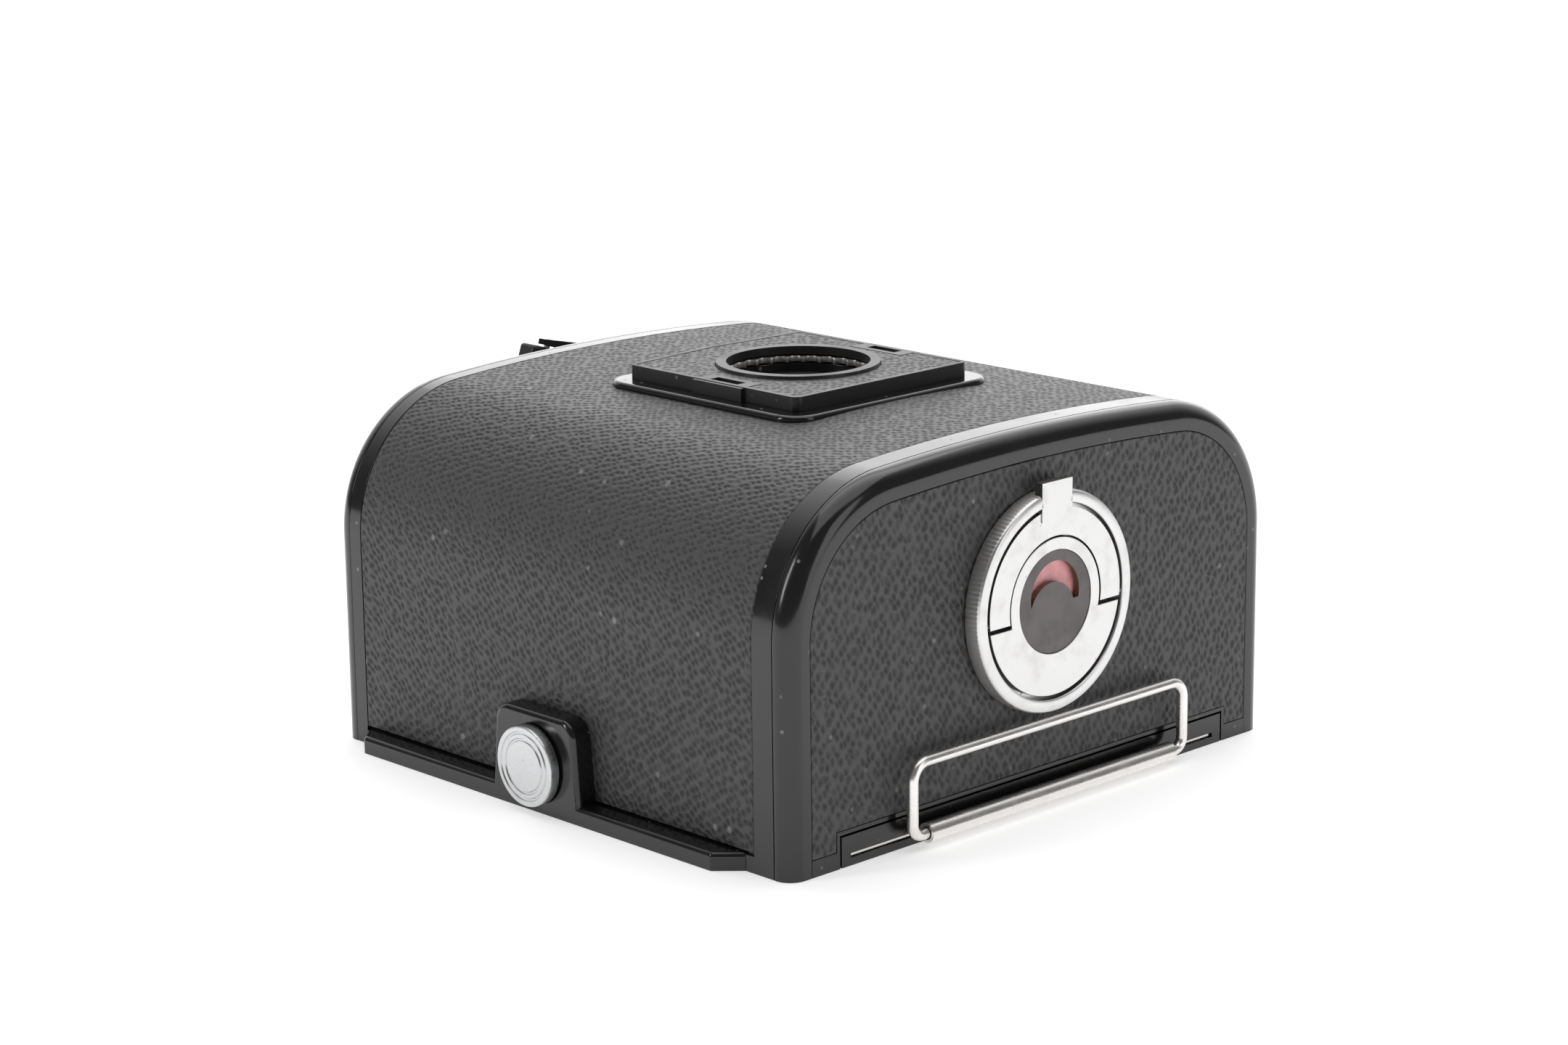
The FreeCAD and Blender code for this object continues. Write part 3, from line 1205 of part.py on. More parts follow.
    stub_tip = "(spool_length/2-2.6)"
    stubs = []
    for name, side in (("supply", f"(0-{SPOOL_Y})"), ("take_up", SPOOL_Y)):
        stubs.append(fuse(
            f"{name}_stub",
            box(f"{name}_spring", (f"{NEAR_PLATE}+end_plate", f"{NEAR_PLATE}+end_plate+0.8"),
                (f"{side}-9", f"{side}+4.5"), (f"{SPOOL_Z}-3", f"{SPOOL_Z}+3")),
            rod(f"{name}_pin", "X", "spool_bore-0.35", (stub_tip, f"{NEAR_PLATE}+end_plate+0.4"),
                (side, SPOOL_Z)),
        ))
    publish(gather("clamp_group", *stubs), "spool_clamps")
    frame = nodes["insert_frame"]
    stub_holes = [rod(f"{name}_stub_hole", "X", "spool_bore-0.3", ("0", "body_width/2-cap_wall-3"),
                      (side, SPOOL_Z))
                  for name, side in (("supply", f"(0-{SPOOL_Y})"), ("take_up", SPOOL_Y))]
    publish(cut("insert_frame_final", frame, *stub_holes), "insert_frame")

    front = f"({FACE}+ring_base+0.1)"
    indicator = fuse("indicator_blank",
                     rod("indicator_disc", "X", "shaft_inner-0.35",
                         (f"{front}-0.3", f"{front}+0.2")),
                     rod("indicator_spindle", "X", "arbor_radius",
                         (f"{NEAR_PLATE}-0.5", f"{front}-0.2")))
    place(indicator, z=KEY_Z)
    publish(indicator, "film_indicator")


# ---------------------------------------------------------------- film holder key

def make_key():
    """The key: a ring on a hollow shaft with its bolt, a plate and hub, and the flip wing."""
    z = KEY_Z
    ring_front = f"({FACE}+key_thick)"
    base = f"({FACE}+seat_fit)"
    shelf = f"({FACE}+ring_base)"
    shaft_end = f"({SEAM}-bolt_behind)"
    bolt_span = (f"{shaft_end}-bolt_thick", f"{shaft_end}-seat_fit")
    ring = turned("ring_body", "X", [
        (shaft_end, "shaft_inner"), (shaft_end, "shaft_radius"),
        (base, "shaft_radius"), (base, "ring_radius"), (f"{ring_front}-0.25", "ring_radius"),
        (ring_front, "ring_radius-0.25"), (ring_front, "ring_inner+0.2"),
        (f"{ring_front}-0.2", "ring_inner"), (shelf, "ring_inner"), (shelf, "shaft_inner"),
    ])
    place(ring, z=z)
    tab_room = box("ring_tab_room", (f"{shelf}+0.2", f"{FACE}+5"),
                   ("0-tab_half-seat_fit*3", "tab_half+seat_fit*3"), (f"{z}+8", f"{z}+20"))
    axis_x = f"({ring_front}-0.15-wing_thick/2)"
    axis_z = f"({z}-wing_split+wing_axis)"

    def pivots(name, radius):
        return [rod(f"{name}_{side}", "Y", radius, span, (axis_x, axis_z))
                for side, span in (("low", ("1.2-ring_radius", "1.4-disc_radius")),
                                   ("high", ("disc_radius-1.4", "ring_radius-1.2")))]

    publish(cut("ring_cut", ring, tab_room, *pivots("ring_pivot", "wing_pin")), "key_ring")
    publish(gather("wing_pivots", *pivots("wing_pivot", "wing_pin")), "wing_pins")
    bolt = cut("bolt_cut",
               box("bolt_bar", bolt_span, ("0-bolt_half", "bolt_half"),
                   (f"{z}-3.5", f"{z}+3.5")),
               rod("bolt_hole", "X", "arbor_radius+0.4", ("30", "40"), ("0", z)))
    bolt_disc = cut("bolt_disc_cut",
                    rod("bolt_disc", "X", "shaft_radius+1", bolt_span, ("0", z)),
                    rod("bolt_disc_hole", "X", "arbor_radius+0.4", ("30", "40"), ("0", z)))
    publish(fuse("bolt_blank", bolt, bolt_disc), "key_bolt")

    face = f"({ring_front}-0.15)"
    span = (f"{shelf}", face)
    split = f"({z}-wing_split)"
    half_moon = common("plate_moon", rod("plate_disc", "X", "disc_radius", span, ("0", z)),
                       box("plate_below", (f"{FACE}-1", f"{FACE}+9"), ("-20", "20"),
                           (f"{z}-20", f"{split}-wing_gap")))
    hub = rod("plate_hub", "X", "hub_radius", span, ("0", z))
    bore = rod("plate_bore", "X", "window_radius", (f"{shelf}-1", f"{face}+1"), ("0", z))
    publish(cut("plate_moon_cut", fuse("plate_moon_blank", half_moon, hub), bore), "key_plate")

    pane = rod("key_pane", "X", "window_radius-seat_fit", (f"{face}-0.85", f"{face}-0.15"),
               ("0", z))
    outer = rod("crescent_outer", "X", "crescent_radius", (f"{face}-3", f"{face}+1"),
                ("0", f"{z}+0.8"))
    inner = rod("crescent_inner", "X", "crescent_radius*0.92", (f"{face}-4", f"{face}+2"),
                ("-0.5", f"{z}-1.6"))
    above = box("crescent_above", (f"{face}-5", f"{face}+3"), ("-8", "8"), (f"{z}-0.2", f"{z}+8"))
    crescent = common("crescent", cut("crescent_blank", outer, inner), above)
    publish(cut("key_pane_cut", pane, crescent), "key_window_disc")

    wing_span = (f"{face}-wing_thick", face)
    wing_disc = cut(
        "wing_half",
        rod("wing_disc", "X", "disc_radius", wing_span, ("0", z)),
        rod("wing_hole", "X", "hub_radius+wing_gap*0.4", (f"{FACE}-1", f"{FACE}+9"), ("0", z)),
        box("wing_below", (f"{FACE}-2", f"{FACE}+10"), ("-21", "21"), (f"{z}-21", split)),
    )
    tab = box("wing_tab", (f"{face}-wing_thick", f"{ring_front}"), ("0-tab_half", "tab_half"),
              (f"{z}+disc_radius-1.6", f"{z}+tab_reach"))
    publish(cut("wing_cut", fuse("wing_blank", wing_disc, tab),
                *pivots("wing_hole", "wing_pin+run_fit")), "key_wing")


# ---------------------------------------------------------------- dark slide

def make_dark_slide():
    """The dark slide: a thin sheet rolled round a wire bail."""
    middle = "(slot_low+slot_high/2)"
    sheet_box = box("sheet_flat", (f"-{GATE}-sheet_past", f"{FACE}+0.4"),
                    ("0-sheet_half", "sheet_half"),
                    (f"{middle}-sheet_thick/2", f"{middle}+sheet_thick/2"))
    tongue = box("sheet_tongue", (f"{FACE}", TUBE_X), ("0-tube_half", "tube_half"),
                 (f"{middle}-sheet_thick/2", f"{middle}+sheet_thick/2"))
    tube = rod("sheet_tube", "Y", "tube_radius", ("0-tube_half", "tube_half"),
               (TUBE_X, "tube_up"))
    bore = rod("sheet_bore", "Y", "wire_radius+run_fit", ("0-tube_half-1", "tube_half+1"),
               (TUBE_X, "tube_up"))
    publish(cut("sheet_cut", fuse("sheet_blank", sheet_box, tongue, tube), bore), "dark_slide")

    low, high = "tube_up", "(tube_up+bail_high)"
    legs = [
        rod("bail_low", "Y", "wire_radius", ("bail_low_bend-bail_half", "bail_half-bail_low_bend"),
            (TUBE_X, low)),
        rod("bail_high_leg", "Y", "wire_radius",
            ("bail_top_bend-bail_half", "bail_half-bail_top_bend"), (TUBE_X, high)),
        rod("bail_left", "Z", "wire_radius", (f"{low}+bail_low_bend", f"{high}-bail_top_bend"),
            (TUBE_X, "0-bail_half")),
        rod("bail_right", "Z", "wire_radius", (f"{low}+bail_low_bend", f"{high}-bail_top_bend"),
            (TUBE_X, "bail_half")),
    ]
    top, foot = "bail_top_bend", "bail_low_bend"
    bends = [
        bend("bail_bend_1", top, f"bail_half-{top}", f"{high}-{top}", 0),
        bend("bail_bend_2", top, f"{top}-bail_half", f"{high}-{top}", 90),
        bend("bail_bend_3", foot, f"{foot}-bail_half", f"{low}+{foot}", 180),
        bend("bail_bend_4", foot, f"bail_half-{foot}", f"{low}+{foot}", 270),
    ]
    publish(fuse("bail", *legs, *bends), "slide_handle")


def bend(name, radius, y, z, start):
    """A quarter turn of the bail's wire in the Y-Z plane, from an angle above +Y."""
    item = doc.addObject("Part::Torus", name)
    item.setExpression("Radius1", formula(radius))
    item.setExpression("Radius2", formula("wire_radius"))
    item.Angle3 = 90.0
    face_x = Rotation(Vector(0, 1, 0), Vector(0, 0, 1), Vector(1, 0, 0), "ZXY")
    item.Placement = Placement(Vector(), Rotation(Vector(1, 0, 0), start).multiply(face_x))
    return place(item, TUBE_X, y, z)


# ---------------------------------------------------------------- build, check and export

make_shell()
make_covers()
make_front_plate()
make_catch()
make_reminder()
make_gears()
make_crank()
make_insert()
make_key()
make_dark_slide()
doc.recompute()

faults = [f"{item.Label}: {item.State}" for item in doc.Objects
          if {"Invalid", "Error"} & set(item.State)]
for node, item in nodes.items():
    shape = item.Shape
    if shape.isNull() or not shape.isValid() or not shape.Solids:
        faults.append(f"{node}: no valid solid")
if faults:
    raise RuntimeError("; ".join(faults))

os.makedirs("parts", exist_ok=True)
for node, item in nodes.items():
    item.Shape.exportStep(f"parts/{node}.step")
    print(node, len(item.Shape.Solids), round(item.Shape.Volume, 2))
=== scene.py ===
"""Looks of a roll film magazine: studio, finishes, and the detailed pieces round its frame.

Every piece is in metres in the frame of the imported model: +Z out of the curved back, +X towards
the film holder key and the dark slide, -Y towards the catch button.
"""

import logging
import math
from dataclasses import dataclass
from enum import Enum
from typing import Any, Callable, Iterable, Sequence

import bmesh
import bpy
from mathutils import Matrix, Vector


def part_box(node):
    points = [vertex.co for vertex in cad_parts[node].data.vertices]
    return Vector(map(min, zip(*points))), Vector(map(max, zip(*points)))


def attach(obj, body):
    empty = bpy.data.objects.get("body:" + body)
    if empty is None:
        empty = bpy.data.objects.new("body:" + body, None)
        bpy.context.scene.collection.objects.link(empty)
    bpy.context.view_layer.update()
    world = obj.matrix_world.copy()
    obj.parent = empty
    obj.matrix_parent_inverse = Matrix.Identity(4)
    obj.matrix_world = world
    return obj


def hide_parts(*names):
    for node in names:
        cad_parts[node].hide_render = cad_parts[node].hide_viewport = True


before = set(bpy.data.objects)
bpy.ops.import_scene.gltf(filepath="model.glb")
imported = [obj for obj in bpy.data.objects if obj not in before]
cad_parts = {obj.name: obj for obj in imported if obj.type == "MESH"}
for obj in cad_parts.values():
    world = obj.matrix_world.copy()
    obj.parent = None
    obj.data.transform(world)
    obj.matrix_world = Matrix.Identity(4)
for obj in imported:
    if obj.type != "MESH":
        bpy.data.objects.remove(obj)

LOG = logging.getLogger("magazine")
MM = 0.001
Point = tuple[float, float, float]


# ------------------------------------------------------------------ shader expressions

class Value:
    """A shader socket that can stand in sums and products."""

    def __init__(self, shader: "Nodes", socket: bpy.types.NodeSocket) -> None:
        """Keep the shader and the output socket."""
        self.shader = shader
        self.socket = socket

    def _math(self, operation: str, *terms: Any) -> "Value":
        """Add a Math node on these terms."""
        return self.shader.node("Math", {"operation": operation}, dict(enumerate(terms)))[0]

    def __add__(self, other: Any) -> "Value":
        """Sum."""
        return self._math("ADD", self, other)

    __radd__ = __add__

    def __sub__(self, other: Any) -> "Value":
        """Difference."""
        return self._math("SUBTRACT", self, other)

    def __rsub__(self, other: Any) -> "Value":
        """Difference, the other way round."""
        return self._math("SUBTRACT", other, self)

    def __mul__(self, other: Any) -> "Value":
        """Product."""
        return self._math("MULTIPLY", self, other)

    __rmul__ = __mul__

    def sign(self) -> "Value":
        """Minus one or one, as the value is below or above zero."""
        return self._math("SIGN", self)

    def ramp(self, low: float, high: float, start: float = 0.0, end: float = 1.0) -> "Value":
        """A smooth step.

        Args:
            low: Input at which the result is start.
            high: Input at which the result is end.
            start: Result at and below low.
            end: Result at and above high.

        Returns:
            The stepped value.
        """
        return self.shader.node(
            "MapRange",
            {"interpolation_type": "SMOOTHSTEP"},
            {"Value": self, "From Min": low, "From Max": high, "To Min": start, "To Max": end},
        )[0]


class Outputs:
    """The outputs of a made node, by name or number."""

    def __init__(self, shader: "Nodes", node: bpy.types.Node) -> None:
        """Keep the node."""
        self.shader = shader
        self.node = node

    def __getitem__(self, key: str | int) -> Value:
        """One output as a value."""
        return Value(self.shader, self.node.outputs[key])


class Nodes:
    """A node tree that values and nodes are added to."""

    def __init__(self, tree: bpy.types.NodeTree) -> None:
        """Keep the tree."""
        self.tree = tree

    def node(self, kind: str, settings: dict[str, Any] | None = None,
             sockets: dict[str | int, Any] | None = None) -> Outputs:
        """Add a node.

        Args:
            kind: Node type without its ShaderNode prefix.
            settings: Node properties.
            sockets: Input values or links.

        Returns:
            The node's outputs.
        """
        made = self.tree.nodes.new("ShaderNode" + kind)
        for key, setting in (settings or {}).items():
            setattr(made, key, setting)
        for key, entry in (sockets or {}).items():
            if isinstance(entry, Value):
                self.tree.links.new(entry.socket, made.inputs[key])
            else:
                made.inputs[key].default_value = entry
        return Outputs(self, made)

    def link(self, entry: Value, socket: bpy.types.NodeSocket) -> None:
        """Link a value to a socket."""
        self.tree.links.new(entry.socket, socket)


class Shader(Nodes):
    """One material's node tree, with its Principled surface."""

    def __init__(self, name: str, roughness: float, metallic: float = 0.0,
                 **constants: float | tuple[float, ...]) -> None:
        """Start a material.

        Args:
            name: Material name.
            roughness: Roughness where nothing varies it.
            metallic: Metallic share.
            constants: Other Principled sockets, with underscores for spaces.
        """
        self.material = bpy.data.materials.new(name)
        self.material.use_nodes = True
        super().__init__(self.material.node_tree)
        self.surface = self.tree.nodes["Principled BSDF"]
        self.surface.inputs["Roughness"].default_value = roughness
        self.surface.inputs["Metallic"].default_value = metallic
        for key, number in constants.items():
            self.surface.inputs[key.replace("_", " ")].default_value = number

    def place(self, stretch: Point = (1.0, 1.0, 1.0)) -> Value:
        """The point in the frame, stretched along each axis."""
        coordinates = self.node("TexCoord")["Object"]
        return self.node("Mapping", {}, {"Vector": coordinates, "Scale": stretch})[0]

    def noise(self, size: float, detail: float = 3.0, roughness: float = 0.55,
              place: Value | None = None) -> Value:
        """Noise whose features are about size metres across."""
        where = place or self.place()
        return self.node("TexNoise", {}, {"Vector": where, "Scale": 1.0 / size,
                                          "Detail": detail, "Roughness": roughness})[0]

    def mix(self, share: Any, first: Any, second: Any) -> Value:
        """A colour between two."""
        return self.node("Mix", {"data_type": "RGBA"}, {0: share, 6: first, 7: second})[2]

    def specks(self, size: float, share: float) -> Value:
        """A mask of scattered small specks, as of dust."""
        cells = self.node("TexVoronoi", {}, {"Vector": self.place(), "Scale": 1.0 / size})
        spot = cells["Distance"].ramp(0.10, 0.22, 1.0, 0.0)
        pick = self.node("SeparateColor", {}, {0: cells["Color"]})[0]
        return spot * pick.ramp(1.0 - share, 1.0 - share * 0.7)

    def feed(self, key: str, entry: Value) -> None:
        """Link a value to a surface socket."""
        self.link(entry, self.surface.inputs[key])

    def bump(self, height: Value, depth: float, strength: float = 1.0) -> None:
        """Raise the surface by height times depth metres."""
        made = self.node("Bump", {}, {"Height": height, "Distance": depth, "Strength": strength})
        self.feed("Normal", made[0])


def grey(level: float, warm: float = 0.0) -> tuple[float, float, float, float]:
    """A grey, a little warmer or cooler."""
    return (level * (1 + warm), level, level * (1 - warm), 1.0)


@dataclass(frozen=True)
class Enamel:
    """Stove enamel or moulded plastic: smooth, dark and dusted."""

    name: str
    shade: float = 0.008
    roughness: float = 0.14
    coat: float = 0.22
    dust: float = 0.10

    def build(self) -> bpy.types.Material:
        """Make the material."""
        shader = Shader(self.name, self.roughness, Coat_Weight=self.coat, Coat_Roughness=0.06,
                        Specular_IOR_Level=0.5)
        specks = shader.specks(1.6 * MM, self.dust)
        smear = shader.noise(9 * MM, 4.0).ramp(0.45, 0.75)
        shader.feed("Base Color", shader.mix(specks * 0.8, grey(self.shade), grey(0.22, 0.08)))
        shader.feed("Roughness", smear * 0.10 + specks * 0.4 + self.roughness)
        waves = shader.noise(2.2 * MM, 2.0)
        scratches = shader.noise(0.25 * MM, 2.0, place=shader.place((1.0, 0.06, 1.0)))
        shader.bump(waves * 0.7 + scratches * 0.12, 0.012 * MM, 0.6)
        return shader.material


@dataclass(frozen=True)
class Leathercloth:
    """Black leathercloth: soft ridges round rows of small staggered pits, with painted shade in
    the pits.
    """

    name: str
    wrapped: bool
    pitch: tuple[float, float]
    shade: float = 0.053
    depth: float = 0.17 * MM
    sway: float = 0.9
    slant: float = 0.25

    def flat(self, shader: Shader) -> Value:
        """The point on the cloth laid out flat, counted in pits.

        Args:
            shader: The shader that uses the point.

        Returns:
            A vector whose whole numbers are the pits.
        """
        part = shader.node("SeparateXYZ", {}, {0: shader.place()})
        along, across = part["Y"], part["Z"]
        if self.wrapped:
            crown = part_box("wrap_leather")[1][2]
            along, across = part["X"], part["Y"] + part["Y"].sign() * (crown - part["Z"])
        sway = shader.noise(1.6 * self.pitch[0], 2.0) - 0.5
        column = along * (1.0 / self.pitch[0]) + sway * self.sway
        row = across * (1.0 / self.pitch[1]) + sway * (0.6 * self.sway) + column * self.slant
        return shader.node("CombineXYZ", {}, {0: column + row, 1: column - row})[0]

    def build(self) -> bpy.types.Material:
        """Make the material."""
        shader = Shader(self.name, 0.46, Specular_IOR_Level=0.5)
        cells = shader.node("TexVoronoi", {"voronoi_dimensions": "2D", "feature": "SMOOTH_F1"},
                            {"Vector": self.flat(shader), "Scale": 1.0, "Smoothness": 0.35,
                             "Randomness": 0.5})
        even = shader.noise(1.3 * self.pitch[0], 2.0).ramp(0.25, 0.60, 0.45, 1.0)
        pit = cells["Distance"].ramp(0.04, 0.62, 1.0, 0.0) * even
        rough = shader.noise(0.13 * MM, 3.0)
        ripple = shader.noise(0.7 * self.pitch[0], 2.0)
        relief = 1.0 - pit * 0.9 + ripple * 0.45 + rough * 0.10
        wear = shader.noise(14 * MM, 4.0).ramp(0.5, 0.8)
        dust = shader.specks(2.6 * MM, 0.10)
        # The pits are painted darker, near black: painted shade in the pits.
        shade = shader.mix(pit * 0.82, grey(self.shade, -0.015), grey(0.008))
        shade = shader.mix(wear * 0.12, shade, grey(0.07))
        shader.feed("Base Color", shader.mix(dust * 0.55, shade, grey(0.30, 0.04)))
        shader.feed("Roughness", 0.40 + pit * 0.20 + rough * 0.10 + wear * 0.05)
        shader.bump(relief, self.depth)
        return shader.material


@dataclass(frozen=True)
class Metal:
    """Plated or bare metal with a brushed or lapped grain and a little staining."""

    name: str
    shade: float = 0.72
    warm: float = 0.0
    roughness: float = 0.28
    grain: Point = (1.0, 1.0, 1.0)
    stain: float = 0.15
    bump: float = 0.006 * MM

    def build(self) -> bpy.types.Material:
        """Make the material."""
        shader = Shader(self.name, self.roughness, 1.0)
        patches = shader.noise(3.5 * MM, 5.0, 0.65).ramp(0.48, 0.74)
        brushed = shader.noise(0.22 * MM, 3.0, place=shader.place(self.grain))
        specks = shader.specks(1.3 * MM, 0.10)
        shade = shader.mix(patches * self.stain, grey(self.shade, self.warm),
                           grey(self.shade * 0.62, self.warm + 0.07))
        shader.feed("Base Color", shader.mix(specks * 0.6, shade, grey(0.16, 0.05)))
        shader.feed("Roughness", self.roughness + brushed * 0.12 + patches * 0.10 - 0.05)
        shader.bump(brushed, self.bump)
        return shader.material


@dataclass(frozen=True)
class Matt:
    """Matt paint, felt or plain plastic with a fine tooth."""

    name: str
    colour: Point
    roughness: float = 0.6
    tooth: float = 0.15 * MM
    depth: float = 0.02 * MM

    def build(self) -> bpy.types.Material:
        """Make the material."""
        shader = Shader(self.name, self.roughness)
        tooth = shader.noise(self.tooth, 3.0)
        cloud = shader.noise(3.0 * MM, 4.0)
        dark = tuple(part * 0.7 for part in self.colour) + (1.0,)
        shader.feed("Base Color", shader.mix(cloud.ramp(0.35, 0.7), (*self.colour, 1.0), dark))
        shader.feed("Roughness", self.roughness + tooth * 0.15 - 0.07)
        shader.bump(tooth, self.depth)
        return shader.material


@dataclass(frozen=True)
class ClearPane:
    """A thin clear pane."""

    name: str = "clear_acrylic"

    def build(self) -> bpy.types.Material:
        """Make the material."""
        shader = Shader(self.name, 0.05, IOR=1.49, Transmission_Weight=1.0)
        haze = shader.noise(1.2 * MM, 3.0)
        shader.feed("Base Color", shader.mix(haze * 0.2, grey(0.93), grey(0.75, 0.03)))
        shader.feed("Roughness", haze * 0.08 + 0.02)
        return shader.material


MADE: dict[str, bpy.types.Material] = {}


class Finish(Enum):
    """The finishes of this magazine."""

    ENAMEL = Enamel("stove_enamel")
    PLASTIC = Enamel("moulded_plastic", 0.013, 0.42, 0.05, 0.30)
    LEATHER = Leathercloth("wrap_cloth", True, (1.65 * MM, 1.45 * MM))
    FACE_LEATHER = Leathercloth("face_cloth", False, (1.45 * MM, 2.0 * MM))
    KEY = Metal("key_plating", 0.71, 0.005, 0.30, (0.25, 1.0, 1.0), 0.25)
    KNURL = Metal("knurled_edge", 0.88, 0.02, 0.42, (1.0, 1.0, 1.0), 0.6)
    BUTTON = Metal("button_plating", 0.62, -0.01, 0.26, (1.0, 1.0, 1.0), 0.03, 0.0015 * MM)
    WIRE = Metal("stainless_wire", 0.84, 0.03, 0.26, (1.0, 0.08, 1.0), 0.12)
    DIAL = Metal("worn_dial", 0.75, 0.03, 0.35, (1.0, 1.0, 1.0), 0.4)
    BRASS = Metal("cut_brass", 0.60, 0.30, 0.30, (1.0, 1.0, 1.0), 0.3)
    STEEL = Metal("plain_steel", 0.45, 0.0, 0.35, (1.0, 0.2, 1.0), 0.3)
    DISC = Matt("smoked_disc", (0.135, 0.115, 0.115), 0.42, 0.10 * MM, 0.004 * MM)
    RED = Matt("indicator_pink", (1.0, 0.46, 0.48), 0.5, 0.2 * MM, 0.004 * MM)
    # Copper darkened near black for the crescent's cut walls: a copper edge with painted shade in
    # the cut.
    SHADED_COPPER = Metal("shaded_cut_edge_copper", 0.16, 0.35, 0.45)
    # Near-black metal for side walls: painted shade in the gaps between the parts, with some dirt.
    GAP_SHADE_AND_GRIME = Metal("gap_shade_and_grime_edge", 0.16, 0.04, 0.45, (1.0, 1.0, 1.0), 0.6)
    INNER = Matt("matt_lacquer", (0.02, 0.02, 0.021), 0.62)
    FELT = Matt("felt_black", (0.012, 0.012, 0.012), 0.95, 0.09 * MM, 0.06 * MM)
    WHITE = Matt("dial_white", (0.75, 0.74, 0.70), 0.5)
    SPOOL = Matt("spool_black", (0.03, 0.03, 0.032), 0.35)
    PANE = ClearPane()

    @property
    def material(self) -> bpy.types.Material:
        """The finish's material, made on first use."""
        if self.name not in MADE:
            MADE[self.name] = self.value.build()
        return MADE[self.name]


# ------------------------------------------------------------------ mesh tools

def add(name: str, mesh: bmesh.types.BMesh, finishes: Sequence[Finish], body: str,
        replaces: Sequence[str] = (), sharp: float = 35.0) -> bpy.types.Object:
    """Turn a bmesh into a piece that rides on a body.

    Args:
        name: Piece name.
        mesh: Its bmesh, freed here.
        finishes: Finishes of its material slots.
        body: CAD body that it rides on.
        replaces: CAD nodes that it stands for.
        sharp: Edges that turn by more degrees than this stay crisp.

    Returns:
        The piece.
    """
    bmesh.ops.recalc_face_normals(mesh, faces=mesh.faces)
    limit = math.radians(sharp)
    for face in mesh.faces:
        face.smooth = True
    for edge in mesh.edges:
        edge.smooth = len(edge.link_faces) == 2 and edge.calc_face_angle(0.0) < limit
    data = bpy.data.meshes.new(name)
    mesh.to_mesh(data)
    mesh.free()
    piece = bpy.data.objects.new(name, data)
    bpy.context.scene.collection.objects.link(piece)
    for finish in finishes:
        data.materials.append(finish.material)
    weigh = piece.modifiers.new("face_weight", "WEIGHTED_NORMAL")
    weigh.keep_sharp = True
    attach(piece, body)
    if replaces:
        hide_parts(*replaces)
    LOG.info("%s: %d faces, rides on %s", name, len(data.polygons), body)
    return piece


def loft(mesh: bmesh.types.BMesh, rows: Sequence[Sequence[Point]], around: bool = False,
         along: bool = False) -> list[bmesh.types.BMFace]:
    """Skin rows of points with quads.

    Args:
        mesh: The bmesh to add to.
        rows: Rows of equally many points.
        around: Whether each row closes on itself.
        along: Whether the last row joins the first.

    Returns:
        The new faces.
    """
    grid = [[mesh.verts.new(point) for point in row] for row in rows]
    faces = []
    count = len(grid[0])
    pairs = list(zip(grid, grid[1:] + grid[:1]))
    for low, high in pairs if along else pairs[:-1]:
        for i in range(count if around else count - 1):
            j = (i + 1) % count
            faces.append(mesh.faces.new((low[i], low[j], high[j], high[i])))
    return faces


def cap(mesh: bmesh.types.BMesh, points: Sequence[Point]) -> bmesh.types.BMFace:
    """One flat face through points."""
    return mesh.faces.new([mesh.verts.new(point) for point in points])


def weld(mesh: bmesh.types.BMesh, reach: float = 0.002 * MM) -> None:
    """Join points that coincide."""
    bmesh.ops.remove_doubles(mesh, verts=mesh.verts, dist=reach)


def plate(mesh: bmesh.types.BMesh, outline: Sequence[tuple[float, float]], low: float,
          high: float, holes: Sequence[Sequence[tuple[float, float]]] = ()) -> None:
    """A flat plate across X with holes.

    Args:
        mesh: The bmesh to add to.
        outline: Corners as (y, z).
        low: X of one face.
        high: X of the other face.
        holes: Outlines cut out of it.
    """
    fresh = bmesh.new()
    for x in (low, high):
        edges = []
        for ring in (outline, *holes):
            verts = [fresh.verts.new((x, y, z)) for y, z in ring]
            edges += [fresh.edges.new((verts[i - 1], verts[i])) for i in range(len(verts))]
        bmesh.ops.triangle_fill(fresh, edges=edges, use_beauty=True)
    for ring in (outline, *holes):
        loft(fresh, [[(x, y, z) for y, z in ring] for x in (low, high)], around=True)
    weld(fresh)
    bmesh.ops.dissolve_limit(fresh, angle_limit=math.radians(0.5), verts=fresh.verts,
                             edges=fresh.edges)
    data = bpy.data.meshes.new("plate_part")
    fresh.to_mesh(data)
    fresh.free()
    mesh.from_mesh(data)
    bpy.data.meshes.remove(data)


def ring(radius: float, centre: tuple[float, float], steps: int = 64
         ) -> list[tuple[float, float]]:
    """Points of a circle."""
    return [(centre[0] + radius * math.cos(math.tau * i / steps),
             centre[1] + radius * math.sin(math.tau * i / steps)) for i in range(steps)]


def rounded_box(half: tuple[float, float], centre: tuple[float, float], corner: float,
                steps: int = 6) -> list[tuple[float, float]]:
    """Points of a rectangle with round corners."""
    points = []
    for turn, (su, sv) in enumerate(((1, 1), (-1, 1), (-1, -1), (1, -1))):
        for i in range(steps + 1):
            angle = math.pi / 2 * (turn + i / steps)
            points.append((centre[0] + su * (half[0] - corner) + corner * math.cos(angle),
                           centre[1] + sv * (half[1] - corner) + corner * math.sin(angle)))
    return points


def break_edges(mesh: bmesh.types.BMesh, width: float, sharp: float = 32.0,
                segments: int = 3) -> None:
    """Bevel every edge that turns by more degrees than sharp."""
    limit = math.radians(sharp)
    edges = [edge for edge in mesh.edges
             if len(edge.link_faces) == 2 and edge.calc_face_angle(0.0) > limit]
    bmesh.ops.bevel(mesh, geom=edges, offset=width, segments=segments, profile=0.5,
                    affect="EDGES", clamp_overlap=True)


